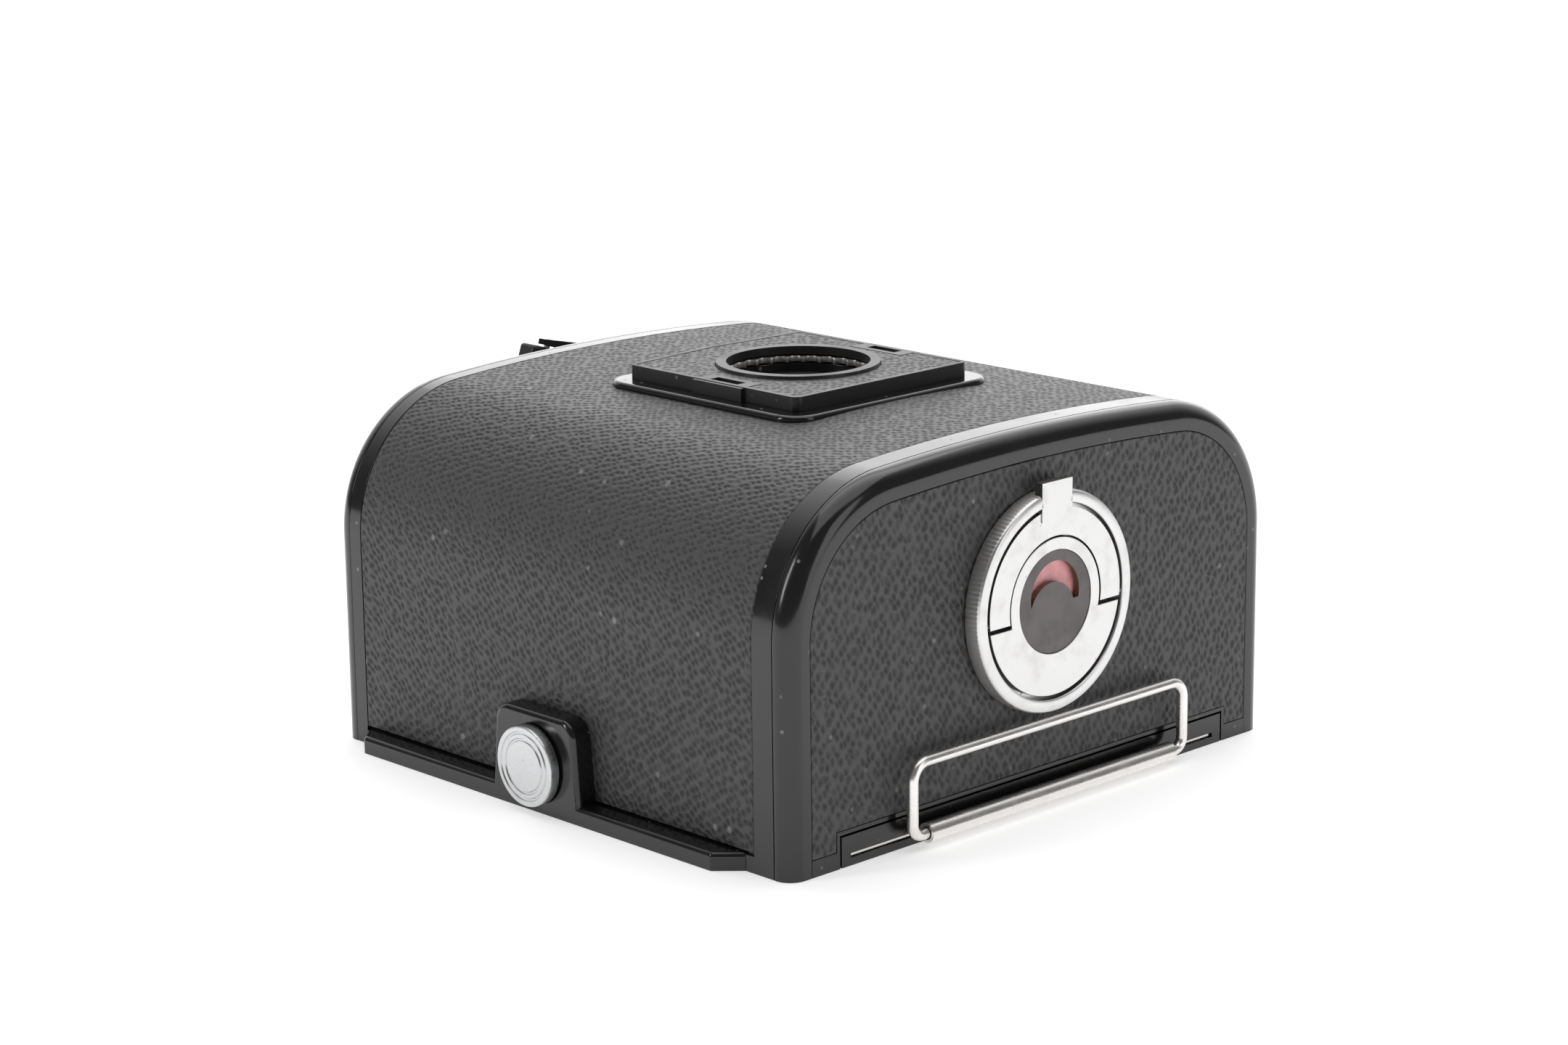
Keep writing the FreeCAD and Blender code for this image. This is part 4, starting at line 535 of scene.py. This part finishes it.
def sweep(mesh: bmesh.types.BMesh, section: Sequence[tuple[float, float]], axis: str,
          centre: Point, start: float = 0.0, end: float = 360.0, steps: int = 96,
          closed: bool = True, ripple: Callable[[int, float], float] | None = None) -> None:
    """Turn a section about an axis, all round or over a part of the turn.

    Args:
        mesh: The bmesh to add to.
        section: Corners as (along the axis, radius), in metres.
        axis: X, Y or Z.
        centre: A point of the axis.
        start: Angle of the first station in degrees.
        end: Angle of the last station.
        steps: Parts of the turn.
        closed: Whether the section closes on itself.
        ripple: Change of radius for a section corner and an angle.
    """
    whole = end - start > 359.9
    rows = []
    for number, (along, radius) in enumerate(section):
        row = []
        for step in range(steps if whole else steps + 1):
            angle = math.radians(start + (end - start) * step / steps)
            reach = radius + (ripple(number, angle) if ripple else 0.0)
            u, v = reach * math.cos(angle), reach * math.sin(angle)
            local = {"X": (along, u, v), "Y": (u, along, v), "Z": (u, v, along)}[axis]
            row.append(tuple(a + b for a, b in zip(local, centre)))
        rows.append(row)
    loft(mesh, rows, around=whole, along=closed)
    if closed and not whole:
        for station in (0, -1):
            cap(mesh, [row[station] for row in rows])
        weld(mesh)


def tube(mesh: bmesh.types.BMesh, path: Sequence[Vector], radius: float, around: int = 28
         ) -> None:
    """A round wire along a closed path that lies in a plane across X.

    Args:
        mesh: The bmesh to add to.
        path: Points of the wire's axis.
        radius: Wire radius.
        around: Facets round the wire.
    """
    rows = []
    count = len(path)
    for i, point in enumerate(path):
        along = (path[(i + 1) % count] - path[i - 1]).normalized()
        side = Vector((1, 0, 0))
        across = along.cross(side).normalized()
        rows.append([tuple(point + side * (radius * math.cos(math.tau * k / around))
                           + across * (radius * math.sin(math.tau * k / around)))
                     for k in range(around)])
    loft(mesh, rows, around=True, along=True)


def copy_of(node: str) -> bmesh.types.BMesh:
    """A welded copy of a CAD node's mesh, without its flat inner edges."""
    mesh = bmesh.new()
    mesh.from_mesh(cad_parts[node].data)
    weld(mesh)
    bmesh.ops.dissolve_limit(mesh, angle_limit=math.radians(0.8), verts=mesh.verts,
                             edges=mesh.edges)
    return mesh


@dataclass(frozen=True)
class Softened:
    """A piece in a CAD node's shape whose edges are broken by a fine bevel."""

    node: str
    finish: Finish
    body: str
    slot: str
    width: float = 0.12 * MM
    sharp: float = 40.0
    sides: Finish | None = None

    def build(self) -> bpy.types.Object:
        """Make the piece."""
        mesh = copy_of(self.node)
        if self.width:
            break_edges(mesh, self.width, self.sharp, 2)
        finishes = [self.finish]
        if self.sides:
            finishes.append(self.sides)
            for face in mesh.faces:
                face.material_index = int(abs(face.normal[0]) < 0.2)
        return add(self.node + "_soft", mesh, finishes, self.body, [self.node])


# ------------------------------------------------------------------ the D profile

@dataclass(frozen=True)
class DProfile:
    """The magazine's side outline: straight sides, round shoulders and a crowned back."""

    half: float
    depth: float
    corner: float = 19.5 * MM
    crown: float = 374.0 * MM

    def path(self, inset: float = 0.0, feet: tuple[float, float] = (0.0, 0.0)
             ) -> list[tuple[float, float]]:
        """Points from the foot of the -Y side, over the back, to the foot of the +Y side.

        Args:
            inset: Distance inside the outline.
            feet: Heights of the -Y foot and the +Y foot.

        Returns:
            The (y, z) points.
        """
        side = self.half - inset
        corner = self.corner - inset
        crown = self.crown - inset
        across = self.half - self.corner
        centre = self.depth - self.crown
        rise = math.sqrt((crown - corner) ** 2 - across**2)
        lean = math.atan2(across, rise)
        shoulder = centre + rise
        turn = math.pi / 2 - lean
        left = [(-side, feet[0] + (shoulder - feet[0]) * i / 12) for i in range(12)]
        left += [(-across - corner * math.cos(angle), shoulder + corner * math.sin(angle))
                 for angle in (turn * i / 30 for i in range(31))]
        back = [(crown * math.sin(angle), centre + crown * math.cos(angle))
                for angle in (-lean + 2 * lean * i / 28 for i in range(1, 28))]
        right = [(-y, z) for y, z in left[12:]][::-1]
        right += [(side, shoulder + (feet[1] - shoulder) * i / 12) for i in range(1, 13)]
        return left + back + right

    def band(self, mesh: bmesh.types.BMesh, stations: Sequence[tuple[float, float]],
             feet: tuple[float, float] = (0.0, 0.0)) -> None:
        """Loft the outline through a closed ring of stations and cap both feet.

        Args:
            mesh: The bmesh to add to.
            stations: (x, inset) pairs.
            feet: Heights of both feet.
        """
        rows = [[(x, y, z) for y, z in self.path(inset, feet)] for x, inset in stations]
        loft(mesh, rows, along=True)
        for end in (0, -1):
            cap(mesh, [row[end] for row in rows])
        weld(mesh)


def quarter(face: float, inset: float, radius: float, way: float, steps: int
            ) -> list[tuple[float, float]]:
    """Stations round a convex edge, from the outline's side to the face.

    Args:
        face: X of the face.
        inset: Inset of the side.
        radius: Radius of the edge.
        way: +1 where the face looks along +X, -1 along -X.
        steps: Parts of the turn.

    Returns:
        (x, inset) pairs.
    """
    turn = [math.pi / 2 * i / steps for i in range(steps + 1)]
    return [(face - way * radius * (1 - math.sin(a)), inset + radius * (1 - math.cos(a)))
            for a in turn]


# ------------------------------------------------------------------ sub-assemblies

@dataclass
class Casing:
    """The leathercloth round the shell and the two rolled side covers."""

    outline: DProfile
    leather: float = 0.45 * MM
    face_edge: float = 3.8 * MM
    face_low: float = 2.2 * MM
    roll: float = 2.5 * MM
    wall: float = 1.9 * MM
    cap_wall: float = 1.4 * MM
    notch: tuple[float, float] = (36.9 * MM, 4.3 * MM)
    lip: float = 0.5 * MM
    seam: float = 0.06 * MM
    fit: float = 0.05 * MM
    turned_edge: float = 0.22 * MM
    wrap_foot: float = 2.7 * MM
    under_bezel: tuple[float, float] = (2.5 * MM, 2.0 * MM)
    rim_edge: float = 0.15 * MM
    cloth_bevel: float = 0.14 * MM
    cloth_sharp: float = 40.0
    key_bore: float = 7.45 * MM
    key_cloth_hole: float = 7.7 * MM
    crank_bore: float = 2.25 * MM
    crank_cloth_hole: float = 3.2 * MM
    hole_steps: int = 40
    pane_corner: float = 0.4 * MM
    pane_frame: float = 0.35 * MM
    frame_corner: float = 0.6 * MM
    foot_rise: float = 1.0 * MM

    @classmethod
    def measured(cls) -> "Casing":
        """The casing as the frame gives it."""
        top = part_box("housing_shell")[1]
        return cls(DProfile(top[1], top[2]))

    def build(self) -> None:
        """Make every piece of the casing."""
        self.wrap()
        self.insert_cover()
        self.side_cover()

    def wrap(self) -> None:
        """The leathercloth round the shell, with turned edges, open under the reminder."""
        low, high = (corner[0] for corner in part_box("wrap_leather"))
        soft = self.turned_edge
        deep = self.leather
        stations = [(low, deep)]
        stations += [(low + soft * (1 - math.cos(a)), soft * (1 - math.sin(a)))
                     for a in (math.pi / 2 * i / 4 for i in range(5))]
        stations += [(low + soft + (high - low - 2 * soft) * i / 24, 0.0) for i in range(1, 24)]
        stations += [(high - soft * (1 - math.sin(a)), soft * (1 - math.cos(a)))
                     for a in (math.pi / 2 * i / 4 for i in range(5))]
        stations += [(high, deep)]
        mesh = bmesh.new()
        ledge_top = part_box("front_plate")[0][2] + self.wrap_foot
        self.outline.band(mesh, stations, (ledge_top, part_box("wrap_leather")[0][2]))
        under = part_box("reminder_bezel")[1]
        hidden = []
        for face in mesh.faces:
            middle = face.calc_center_median()
            if (abs(middle[0]) < under[0] - self.under_bezel[0]
                    and abs(middle[1]) < under[1] - self.under_bezel[1]
                    and middle[2] > 0.8 * self.outline.depth):
                hidden.append(face)
        bmesh.ops.delete(mesh, geom=hidden, context="FACES")
        add("leathercloth_wrap", mesh, [Finish.LEATHER], "housing",
            ["wrap_leather"])

    def rim(self, mesh: bmesh.types.BMesh, face: float, seam: float, way: float) -> None:
        """The rolled rim of a side cover as a closed band.

        Args:
            mesh: The bmesh to add to.
            face: X of the outer face.
            seam: X of the seam to the shell.
            way: +1 for the cover that looks along +X.
        """
        soft = self.rim_edge
        back = seam + way * self.seam
        stations = [(back, self.wall), (back, soft)]
        stations += [(back + way * soft * (1 - math.cos(a)), soft * (1 - math.sin(a)))
                     for a in (math.pi / 2 * i / 3 for i in range(1, 4))]
        stations += quarter(face, 0.0, self.roll, way, 14)
        inner = self.face_edge
        stations += [(face - way * soft * (1 - math.cos(a)), inner - soft * (1 - math.sin(a)))
                     for a in (math.pi / 2 * i / 3 for i in range(4))]
        stations += [(face - way * self.cap_wall, inner), (face - way * self.cap_wall, self.wall)]
        self.outline.band(mesh, stations)

    def inlay(self, inset: float, low: float, notch: tuple[float, float] | None
              ) -> list[tuple[float, float]]:
        """The outline of a face's leathercloth.

        Args:
            inset: Distance inside the D outline.
            low: Height of its lower edge.
            notch: Half width and height of the room for the slot lip, if there is one.

        Returns:
            The (y, z) corners.
        """
        points = self.outline.path(inset, (low, low))
        if notch:
            half, high = notch
            points += [(half, low), (half, high), (-half, high), (-half, low)]
        return points

    def insert_cover(self) -> None:
        """The insert's cover, its lower strips and the leathercloth on its face."""
        face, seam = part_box("insert_cover")[1][0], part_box("insert_cover")[0][0]
        mesh = bmesh.new()
        self.rim(mesh, face, seam, 1.0)
        key = [0.5 * (a + b) for a, b in zip(*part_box("key_ring"))]
        bore = ring(self.key_bore, (key[1], key[2]))
        back, floor = face - self.cap_wall, face - self.leather
        edge = self.outline.half - self.face_edge
        half, high = self.notch
        wide, tall = half + self.lip, high + self.lip
        low = self.face_low
        web = self.inlay(self.face_edge, low, (wide, tall))
        plate(mesh, web, back, floor, [bore])
        strip = [(-edge, 0), (-half, 0), (-half, high), (half, high), (half, 0), (edge, 0),
                 (edge, low), (wide, low), (wide, tall), (-wide, tall), (-wide, low), (-edge, low)]
        plate(mesh, strip, back, face)
        foot = self.outline.half - self.wall
        for side in (-1, 1):
            corner = [(side * half, 0), (side * foot, 0), (side * foot, high + self.foot_rise),
                      (side * half, high + self.foot_rise)]
            plate(mesh, corner, seam + self.seam, back)
        add("insert_cover_shell", mesh, [Finish.ENAMEL], "insert",
            ["insert_cover"])
        cloth = bmesh.new()
        points = self.inlay(self.face_edge + self.fit, low + self.fit,
                            (wide + self.fit, tall + self.fit))
        plate(cloth, points, floor, face, [ring(self.key_cloth_hole, (key[1], key[2]))])
        break_edges(cloth, self.cloth_bevel, self.cloth_sharp)
        add("insert_cover_cloth", cloth, [Finish.FACE_LEATHER], "insert",
            ["insert_leather"])

    def side_cover(self) -> None:
        """The crank side's cover with its windows, and the leathercloth on its face."""
        face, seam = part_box("side_cover")[0][0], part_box("side_cover")[1][0]
        mesh = bmesh.new()
        self.rim(mesh, face, seam, -1.0)
        hub = [0.5 * (a + b) for a, b in zip(*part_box("crank_hub"))]
        shaft = ring(self.crank_bore, (hub[1], hub[2]), self.hole_steps)
        panes = []
        for node in ("counter_window", "signal_window"):
            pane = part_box(node)
            half = (0.5 * (pane[1][1] - pane[0][1]), 0.5 * (pane[1][2] - pane[0][2]))
            middle = (0.5 * (pane[1][1] + pane[0][1]), 0.5 * (pane[1][2] + pane[0][2]))
            panes.append((half, middle))
        back, floor = face + self.cap_wall, face + self.leather
        low = self.face_low
        holes = [rounded_box(half, middle, self.pane_corner) for half, middle in panes]
        plate(mesh, self.inlay(self.face_edge, low, None), floor, back, [shaft, *holes])
        edge = self.outline.half - self.face_edge
        plate(mesh, [(-edge, 0), (edge, 0), (edge, low), (-edge, low)], face, back)
        add("side_cover_shell", mesh, [Finish.ENAMEL], "housing", ["side_cover"])
        cloth = bmesh.new()
        border = self.pane_frame
        grown = [rounded_box((half[0] + border, half[1] + border), middle, self.frame_corner)
                 for half, middle in panes]
        plate(cloth, self.inlay(self.face_edge + self.fit, low + self.fit, None), face, floor,
              [ring(self.crank_cloth_hole, (hub[1], hub[2]), self.hole_steps), *grown])
        break_edges(cloth, self.cloth_bevel, self.cloth_sharp)
        add("side_cover_cloth", cloth, [Finish.FACE_LEATHER], "housing",
            ["side_cover_leather"])


@dataclass
class FilmKey:
    """The round film holder key: knurled ring, plate, flip wing and indicator window."""

    teeth: int = 150
    knurl: float = 0.07 * MM
    inner: float = 12.94 * MM
    shaft: tuple[float, float] = (6.2 * MM, 7.4 * MM)
    tab_room: float = 3.01 * MM
    centre: Point = (0.0, 0.0, 0.0)
    under: float = 0.05 * MM
    floor: float = 0.85 * MM
    tab_floor: float = 0.2 * MM
    plate_bevel: float = 0.16 * MM
    knurl_margin: float = 0.12 * MM
    crescent_reach: float = 6.2 * MM

    def build(self) -> None:
        """Make the key."""
        low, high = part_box("key_ring")
        self.centre = (0.0, 0.5 * (low[1] + high[1]), 0.5 * (low[2] + high[2]))
        self.make_ring(low[0], high[0], 0.5 * (high[1] - low[1]))
        # The plate's and wing's side walls take the dark metal: painted shade in the gaps, with
        # some dirt.
        for node, body in (("key_plate", "key"), ("key_wing", "wing")):
            Softened(node, Finish.KEY, body, "key_steel", self.plate_bevel,
                     sides=Finish.GAP_SHADE_AND_GRIME).build()
        self.make_window()

    def make_ring(self, shaft_end: float, face: float, outer: float) -> None:
        """The knurled ring, open at the top for the wing's tab, on its hollow shaft.

        Args:
            shaft_end: X of the shaft's inner end.
            face: X of the ring's face.
            outer: Outer radius of the ring.
        """
        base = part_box("insert_cover")[1][0] + self.under
        shelf = base + self.floor
        room = shelf + self.tab_floor

        def ripple(corners: set[int]) -> Callable[[int, float], float]:
            """Knurl only these corners of the section."""
            def depth(number: int, angle: float) -> float:
                """Depth of the knurl at an angle."""
                if number not in corners:
                    return 0.0
                return -self.knurl * (0.5 + 0.5 * math.cos(self.teeth * angle))
            return depth

        steps = self.teeth * 4
        mesh = bmesh.new()
        inner, reach = self.shaft
        sweep(mesh, [(shaft_end, inner), (shaft_end, reach), (base, reach),
                     (base, outer - 0.35 * MM), (base + 0.12 * MM, outer - 0.08 * MM),
                     (base + 0.2 * MM, outer), (room, outer), (room, self.inner),
                     (shelf, self.inner), (shelf, inner)],
              "X", self.centre, steps=steps, ripple=ripple({5, 6}))
        gap = math.degrees(math.asin(self.tab_room / outer))
        sweep(mesh, [(room, self.inner), (room, outer), (face - 0.42 * MM, outer),
                     (face - 0.28 * MM, outer - 0.08 * MM), (face - 0.1 * MM, outer - 0.2 * MM),
                     (face, outer - 0.36 * MM),
                     (face, self.inner + 0.2 * MM), (face - 0.06 * MM, self.inner + 0.06 * MM),
                     (face - 0.2 * MM, self.inner)],
              "X", self.centre, 90 + gap, 450 - gap, steps, ripple=ripple({1, 2}))
        knurled = outer - self.knurl_margin
        bmesh.ops.recalc_face_normals(mesh, faces=mesh.faces)
        for face_piece in mesh.faces:
            middle = face_piece.calc_center_median()
            far = math.hypot(middle[1] - self.centre[1], middle[2] - self.centre[2])
            if far > knurled and abs(face_piece.normal[0]) < 0.5:
                face_piece.material_index = 1
        add("key_ring_knurled", mesh, [Finish.KEY, Finish.KNURL], "key",
            ["key_ring"], 50.0)

    def make_window(self) -> None:
        """The window disc, whose cut crescent shows a copper edge darkened by painted shade."""
        mesh = copy_of("key_window_disc")
        for face in mesh.faces:
            middle = face.calc_center_median()
            far = math.hypot(middle[1] - self.centre[1], middle[2] - self.centre[2])
            # The crescent's cut walls take the dark copper: painted shade in the cut.
            if abs(face.normal[0]) < 0.3 and far < self.crescent_reach:
                face.material_index = 1
        add("window_disc", mesh, [Finish.DISC, Finish.SHADED_COPPER], "key",
            ["key_window_disc"])


@dataclass
class CatchButton:
    """The release button: a turned head with two fine grooves, on a stem."""

    radius: float = 5.42 * MM
    head: float = 1.4 * MM
    stem: float = 2.0 * MM
    grooves: tuple[float, float] = (3.57 * MM, 4.47 * MM)
    groove_half: float = 0.22 * MM
    groove_deep: float = 0.15 * MM
    edge: float = 0.25 * MM

    def build(self) -> None:
        """Turn the button."""
        low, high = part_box("catch_button")
        face, back = low[1], high[1]
        section = [(face, 0.0)]
        for groove in self.grooves:
            for out in (-1.0, -0.5, 0.5, 1.0):
                deep = self.groove_deep if abs(out) < 1.0 else 0.0
                section.append((face + deep, groove + out * self.groove_half))
        section += [(face, self.radius - self.edge),
                    (face + 0.3 * self.edge, self.radius - 0.3 * self.edge),
                    (face + self.edge, self.radius), (face + self.head, self.radius),
                    (face + self.head, self.stem), (back, self.stem), (back, 0.0)]
        mesh = bmesh.new()
        centre = (0.5 * (low[0] + high[0]), 0.0, 0.5 * (low[2] + high[2]))
        sweep(mesh, section, "Y", centre, closed=False)
        weld(mesh)
        add("catch_button_turned", mesh, [Finish.BUTTON], "catch",
            ["catch_button"])


@dataclass
class Slide:
    """The dark slide: a sheet rolled round a wire bail."""

    wire: float = 0.75 * MM
    sheet: float = 0.4 * MM
    top_bend: float = 2.4 * MM
    low_bend: float = 1.6 * MM
    bend_steps: int = 12
    tongue_inset: float = 3.2 * MM
    sheet_up: float = 0.65 * MM
    tongue_length: float = 2.4 * MM
    rolled: float = 310.0
    roll_steps: int = 40
    tongue_edge: float = 0.1 * MM
    corner_cut: float = 3 * MM

    def build(self) -> None:
        """Make the sheet and the bail."""
        self.make_bail()
        self.make_sheet()

    def make_bail(self) -> None:
        """The wire bail: a flat ring with four bends."""
        low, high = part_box("slide_handle")
        x = 0.5 * (low[0] + high[0])
        half = high[1] - self.wire
        bottom, top = low[2] + self.wire, high[2] - self.wire
        path = []
        corners = ((half, top, self.top_bend, 0), (-half, top, self.top_bend, 1),
                   (-half, bottom, self.low_bend, 2), (half, bottom, self.low_bend, 3))
        for y, z, bend, turn in corners:
            centre = (y - math.copysign(bend, y), z - bend if z == top else z + bend)
            for i in range(self.bend_steps + 1):
                angle = math.pi / 2 * (turn + i / self.bend_steps)
                path.append(Vector((x, centre[0] + bend * math.cos(angle),
                                    centre[1] + bend * math.sin(angle))))
        mesh = bmesh.new()
        tube(mesh, path, self.wire)
        add("bail_wire", mesh, [Finish.WIRE], "bail", ["slide_handle"])

    def make_sheet(self) -> None:
        """The sheet, with its tongue rolled into a tube round the wire."""
        low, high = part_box("dark_slide")
        radius = 0.5 * (high[2] - low[2])
        axis = (high[0] - radius, low[2] + radius)
        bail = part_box("slide_handle")
        half = 0.5 * (bail[1][1] - bail[0][1]) - self.tongue_inset
        mean = radius - self.sheet / 2
        middle = low[2] + self.sheet_up
        start = math.asin((middle - axis[1]) / mean)
        turn = [math.pi - start + math.radians(self.rolled) * i / self.roll_steps
                for i in range(self.roll_steps + 1)]
        inner = [(axis[0] + (mean - self.sheet / 2) * math.cos(a),
                  axis[1] + (mean - self.sheet / 2) * math.sin(a)) for a in turn]
        outer = [(axis[0] + (mean + self.sheet / 2) * math.cos(a),
                  axis[1] + (mean + self.sheet / 2) * math.sin(a)) for a in turn]
        run = axis[0] - self.tongue_length
        top, bottom = middle + self.sheet / 2, middle - self.sheet / 2
        section = [(run, top), (inner[0][0] - 0.25 * MM, top), *inner, *outer[::-1],
                   (outer[0][0] - 0.1 * MM, bottom), (run, bottom)]
        mesh = bmesh.new()
        stations = [-half, self.tongue_edge - half, half - self.tongue_edge, half]
        loft(mesh, [[(x, y, z) for x, z in section] for y in stations], around=True)
        for y in (-half, half):
            cap(mesh, [(x, y, z) for x, z in section])
        weld(mesh)
        wide, cut, joint = high[1], self.corner_cut, run + 0.01 * MM
        corners = [(low[0] + cut, -wide), (joint, -wide), (joint, wide), (low[0] + cut, wide),
                   (low[0], wide - cut), (low[0], cut - wide)]
        rows = [[(x, y, z) for x, y in corners] for z in (bottom, top)]
        loft(mesh, rows, around=True)
        for row in rows:
            cap(mesh, row)
        weld(mesh)
        add("dark_slide_sheet", mesh, [Finish.WIRE], "slide", ["dark_slide"])


class Softening(Enum):
    """CAD shapes that only need their edges broken."""

    SHELL = Softened("housing_shell", Finish.ENAMEL, "housing", "black_enamel", 0.08 * MM)
    PLATE = Softened("front_plate", Finish.ENAMEL, "housing", "black_enamel", 0.10 * MM)
    BEZEL = Softened("reminder_bezel", Finish.ENAMEL, "housing", "black_plastic", 0.10 * MM)
    FRAME = Softened("reminder_plate", Finish.PLASTIC, "housing", "black_plastic", 0.06 * MM)
    CLOTH = Softened("reminder_leather", Finish.LEATHER, "housing", "leathercloth", 0.08 * MM)
    DIAL = Softened("reminder_dial", Finish.DIAL, "reminder", "dial_metal", 0.06 * MM)
    HUB = Softened("crank_hub", Finish.ENAMEL, "crank", "black_enamel", 0.20 * MM)
    ARM = Softened("crank_arm", Finish.ENAMEL, "crank", "black_enamel", 0.20 * MM)
    KNOB = Softened("crank_knob", Finish.PLASTIC, "knob", "black_plastic", 0.0)


@dataclass
class Studio:
    """Pale floor, soft lights and the camera."""

    azimuth: float = 46.12
    elevation: float = 13.91
    roll: float = -0.68
    distance: float = 497.3 * MM
    focal: float = 83.28
    aim: Point = (-1.525 * MM, -1.586 * MM, 29.99 * MM)
    backdrop_side: Point = (-0.68, 0.66, 0.32)
    backdrop_fall: tuple[float, float, float, float] = (0.25, 0.95, 0.14, 1.5)
    backdrop_shown: float = 1.05
    floor_tile: float = 0.25
    floor_tiles: int = 12
    floor_drop: float = 0.02 * MM

    def build(self) -> None:
        """Make the floor, the lights, the world and the camera."""
        self.floor()
        self.world()
        self.lights()
        self.camera()
        bpy.context.scene.view_settings.view_transform = "Standard"

    def floor(self) -> None:
        """A wide white floor."""
        mesh = bmesh.new()
        count, tile = range(-self.floor_tiles, self.floor_tiles + 1), self.floor_tile
        rows = [[(tile * i, tile * j, -self.floor_drop) for j in count] for i in count]
        loft(mesh, rows)
        data = bpy.data.meshes.new("studio_floor")
        mesh.to_mesh(data)
        mesh.free()
        floor = bpy.data.objects.new("studio_floor", data)
        bpy.context.scene.collection.objects.link(floor)
        shader = Shader("studio_paper", 0.9, Specular_IOR_Level=0.1,
                        Emission_Color=(1.0, 1.0, 1.0, 1.0), Emission_Strength=0.45)
        paper = shader.noise(0.4, 2.0)
        shader.feed("Base Color", shader.mix(paper, grey(0.86), grey(0.90)))
        data.materials.append(shader.material)

    def world(self) -> None:
        """A white backdrop, which lights the object most from behind."""
        world = bpy.data.worlds.new("studio_world")
        world.use_nodes = True
        nodes = Nodes(world.node_tree)
        backdrop = nodes.tree.nodes["Background"]
        backdrop.inputs["Color"].default_value = (1.0, 1.0, 1.0, 1.0)
        way = nodes.node("TexCoord")["Generated"]
        toward = nodes.node("VectorMath", {"operation": "DOT_PRODUCT"},
                            {0: way, 1: self.backdrop_side})["Value"]
        start, end, dark, bright = self.backdrop_fall
        light = nodes.node("MapRange", {"interpolation_type": "SMOOTHSTEP"},
                           {"Value": toward, "From Min": start, "From Max": end,
                            "To Min": dark, "To Max": bright})[0]
        seen = nodes.node("LightPath")["Is Camera Ray"]
        shown = nodes.node("Mix", {}, {0: seen, 2: light, 3: self.backdrop_shown})[0]
        nodes.link(shown, backdrop.inputs["Strength"])
        bpy.context.scene.world = world

    def lights(self) -> None:
        """Large soft lights above, beside and behind."""
        self.light("top_light", (0.05, 0.10, 0.95), (1.1, 1.1), 5.0)
        self.light("back_light", (-0.75, 0.95, 0.55), (1.2, 0.8), 2.2)
        self.light("left_light", (-0.45, -1.05, 0.60), (0.22, 0.6), 3.0)
        self.light("right_light", (1.15, 0.25, 0.40), (0.5, 0.8), 1.8)

    def light(self, name: str, place: Point, size: tuple[float, float], power: float) -> None:
        """One soft box that looks at the object."""
        data = bpy.data.lights.new(name, "AREA")
        data.shape = "RECTANGLE"
        data.size, data.size_y = size
        data.energy = power
        lamp = bpy.data.objects.new(name, data)
        lamp.location = place
        facing = Vector(self.aim) - Vector(place)
        lamp.rotation_euler = facing.to_track_quat("-Z", "Y").to_euler()
        bpy.context.scene.collection.objects.link(lamp)

    def camera(self) -> None:
        """The camera, level but for a slight roll."""
        azimuth, elevation = math.radians(self.azimuth), math.radians(self.elevation)
        back = Vector((math.sin(azimuth) * math.cos(elevation),
                       -math.cos(azimuth) * math.cos(elevation), math.sin(elevation)))
        data = bpy.data.cameras.new("camera")
        data.lens = self.focal
        data.sensor_width = 36.0
        camera = bpy.data.objects.new("camera", data)
        turn = (-back).to_track_quat("-Z", "Y").to_matrix().to_4x4()
        spin = Matrix.Rotation(math.radians(self.roll), 4, "Z")
        camera.matrix_world = (Matrix.Translation(Vector(self.aim) + back * self.distance)
                               @ turn @ spin)
        bpy.context.scene.collection.objects.link(camera)
        bpy.context.scene.camera = camera


CARRIED = {
    Finish.BRASS: ("crank_gear", "take_up_driver", "idler_gear", "drive_gear"),
    Finish.STEEL: ("front_plate_screws", "catch_bar", "catch_spring", "gear_arbors",
                   "crank_screw", "knob_pin", "supply_roller", "take_up_roller",
                   "pressure_spring", "spool_clamps", "wing_pins", "key_bolt"),
    Finish.RED: ("film_indicator",),
    Finish.INNER: ("reminder_floor", "gear_plate", "insert_frame", "pressure_plate"),
    Finish.FELT: ("light_trap_felt",),
    Finish.WHITE: ("counter_dial", "signal_vane"),
    Finish.SPOOL: ("take_up_spool",),
    Finish.PANE: ("counter_window", "signal_window"),
}


def dress(finishes: dict[Finish, Iterable[str]]) -> None:
    """Give carried-over CAD nodes their finishes."""
    for finish, names in finishes.items():
        for name in names:
            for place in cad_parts[name].material_slots:
                place.material = finish.material
            LOG.info("%s: dressed in %s", name, finish.value.name)


def main() -> None:
    """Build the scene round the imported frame."""
    logging.basicConfig(level=logging.INFO, format="%(message)s")
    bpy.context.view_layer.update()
    dress(CARRIED)
    Casing.measured().build()
    FilmKey().build()
    Slide().build()
    CatchButton().build()
    for piece in Softening:
        piece.value.build()
    Studio().build()


if __name__ == "__main__":
    main()
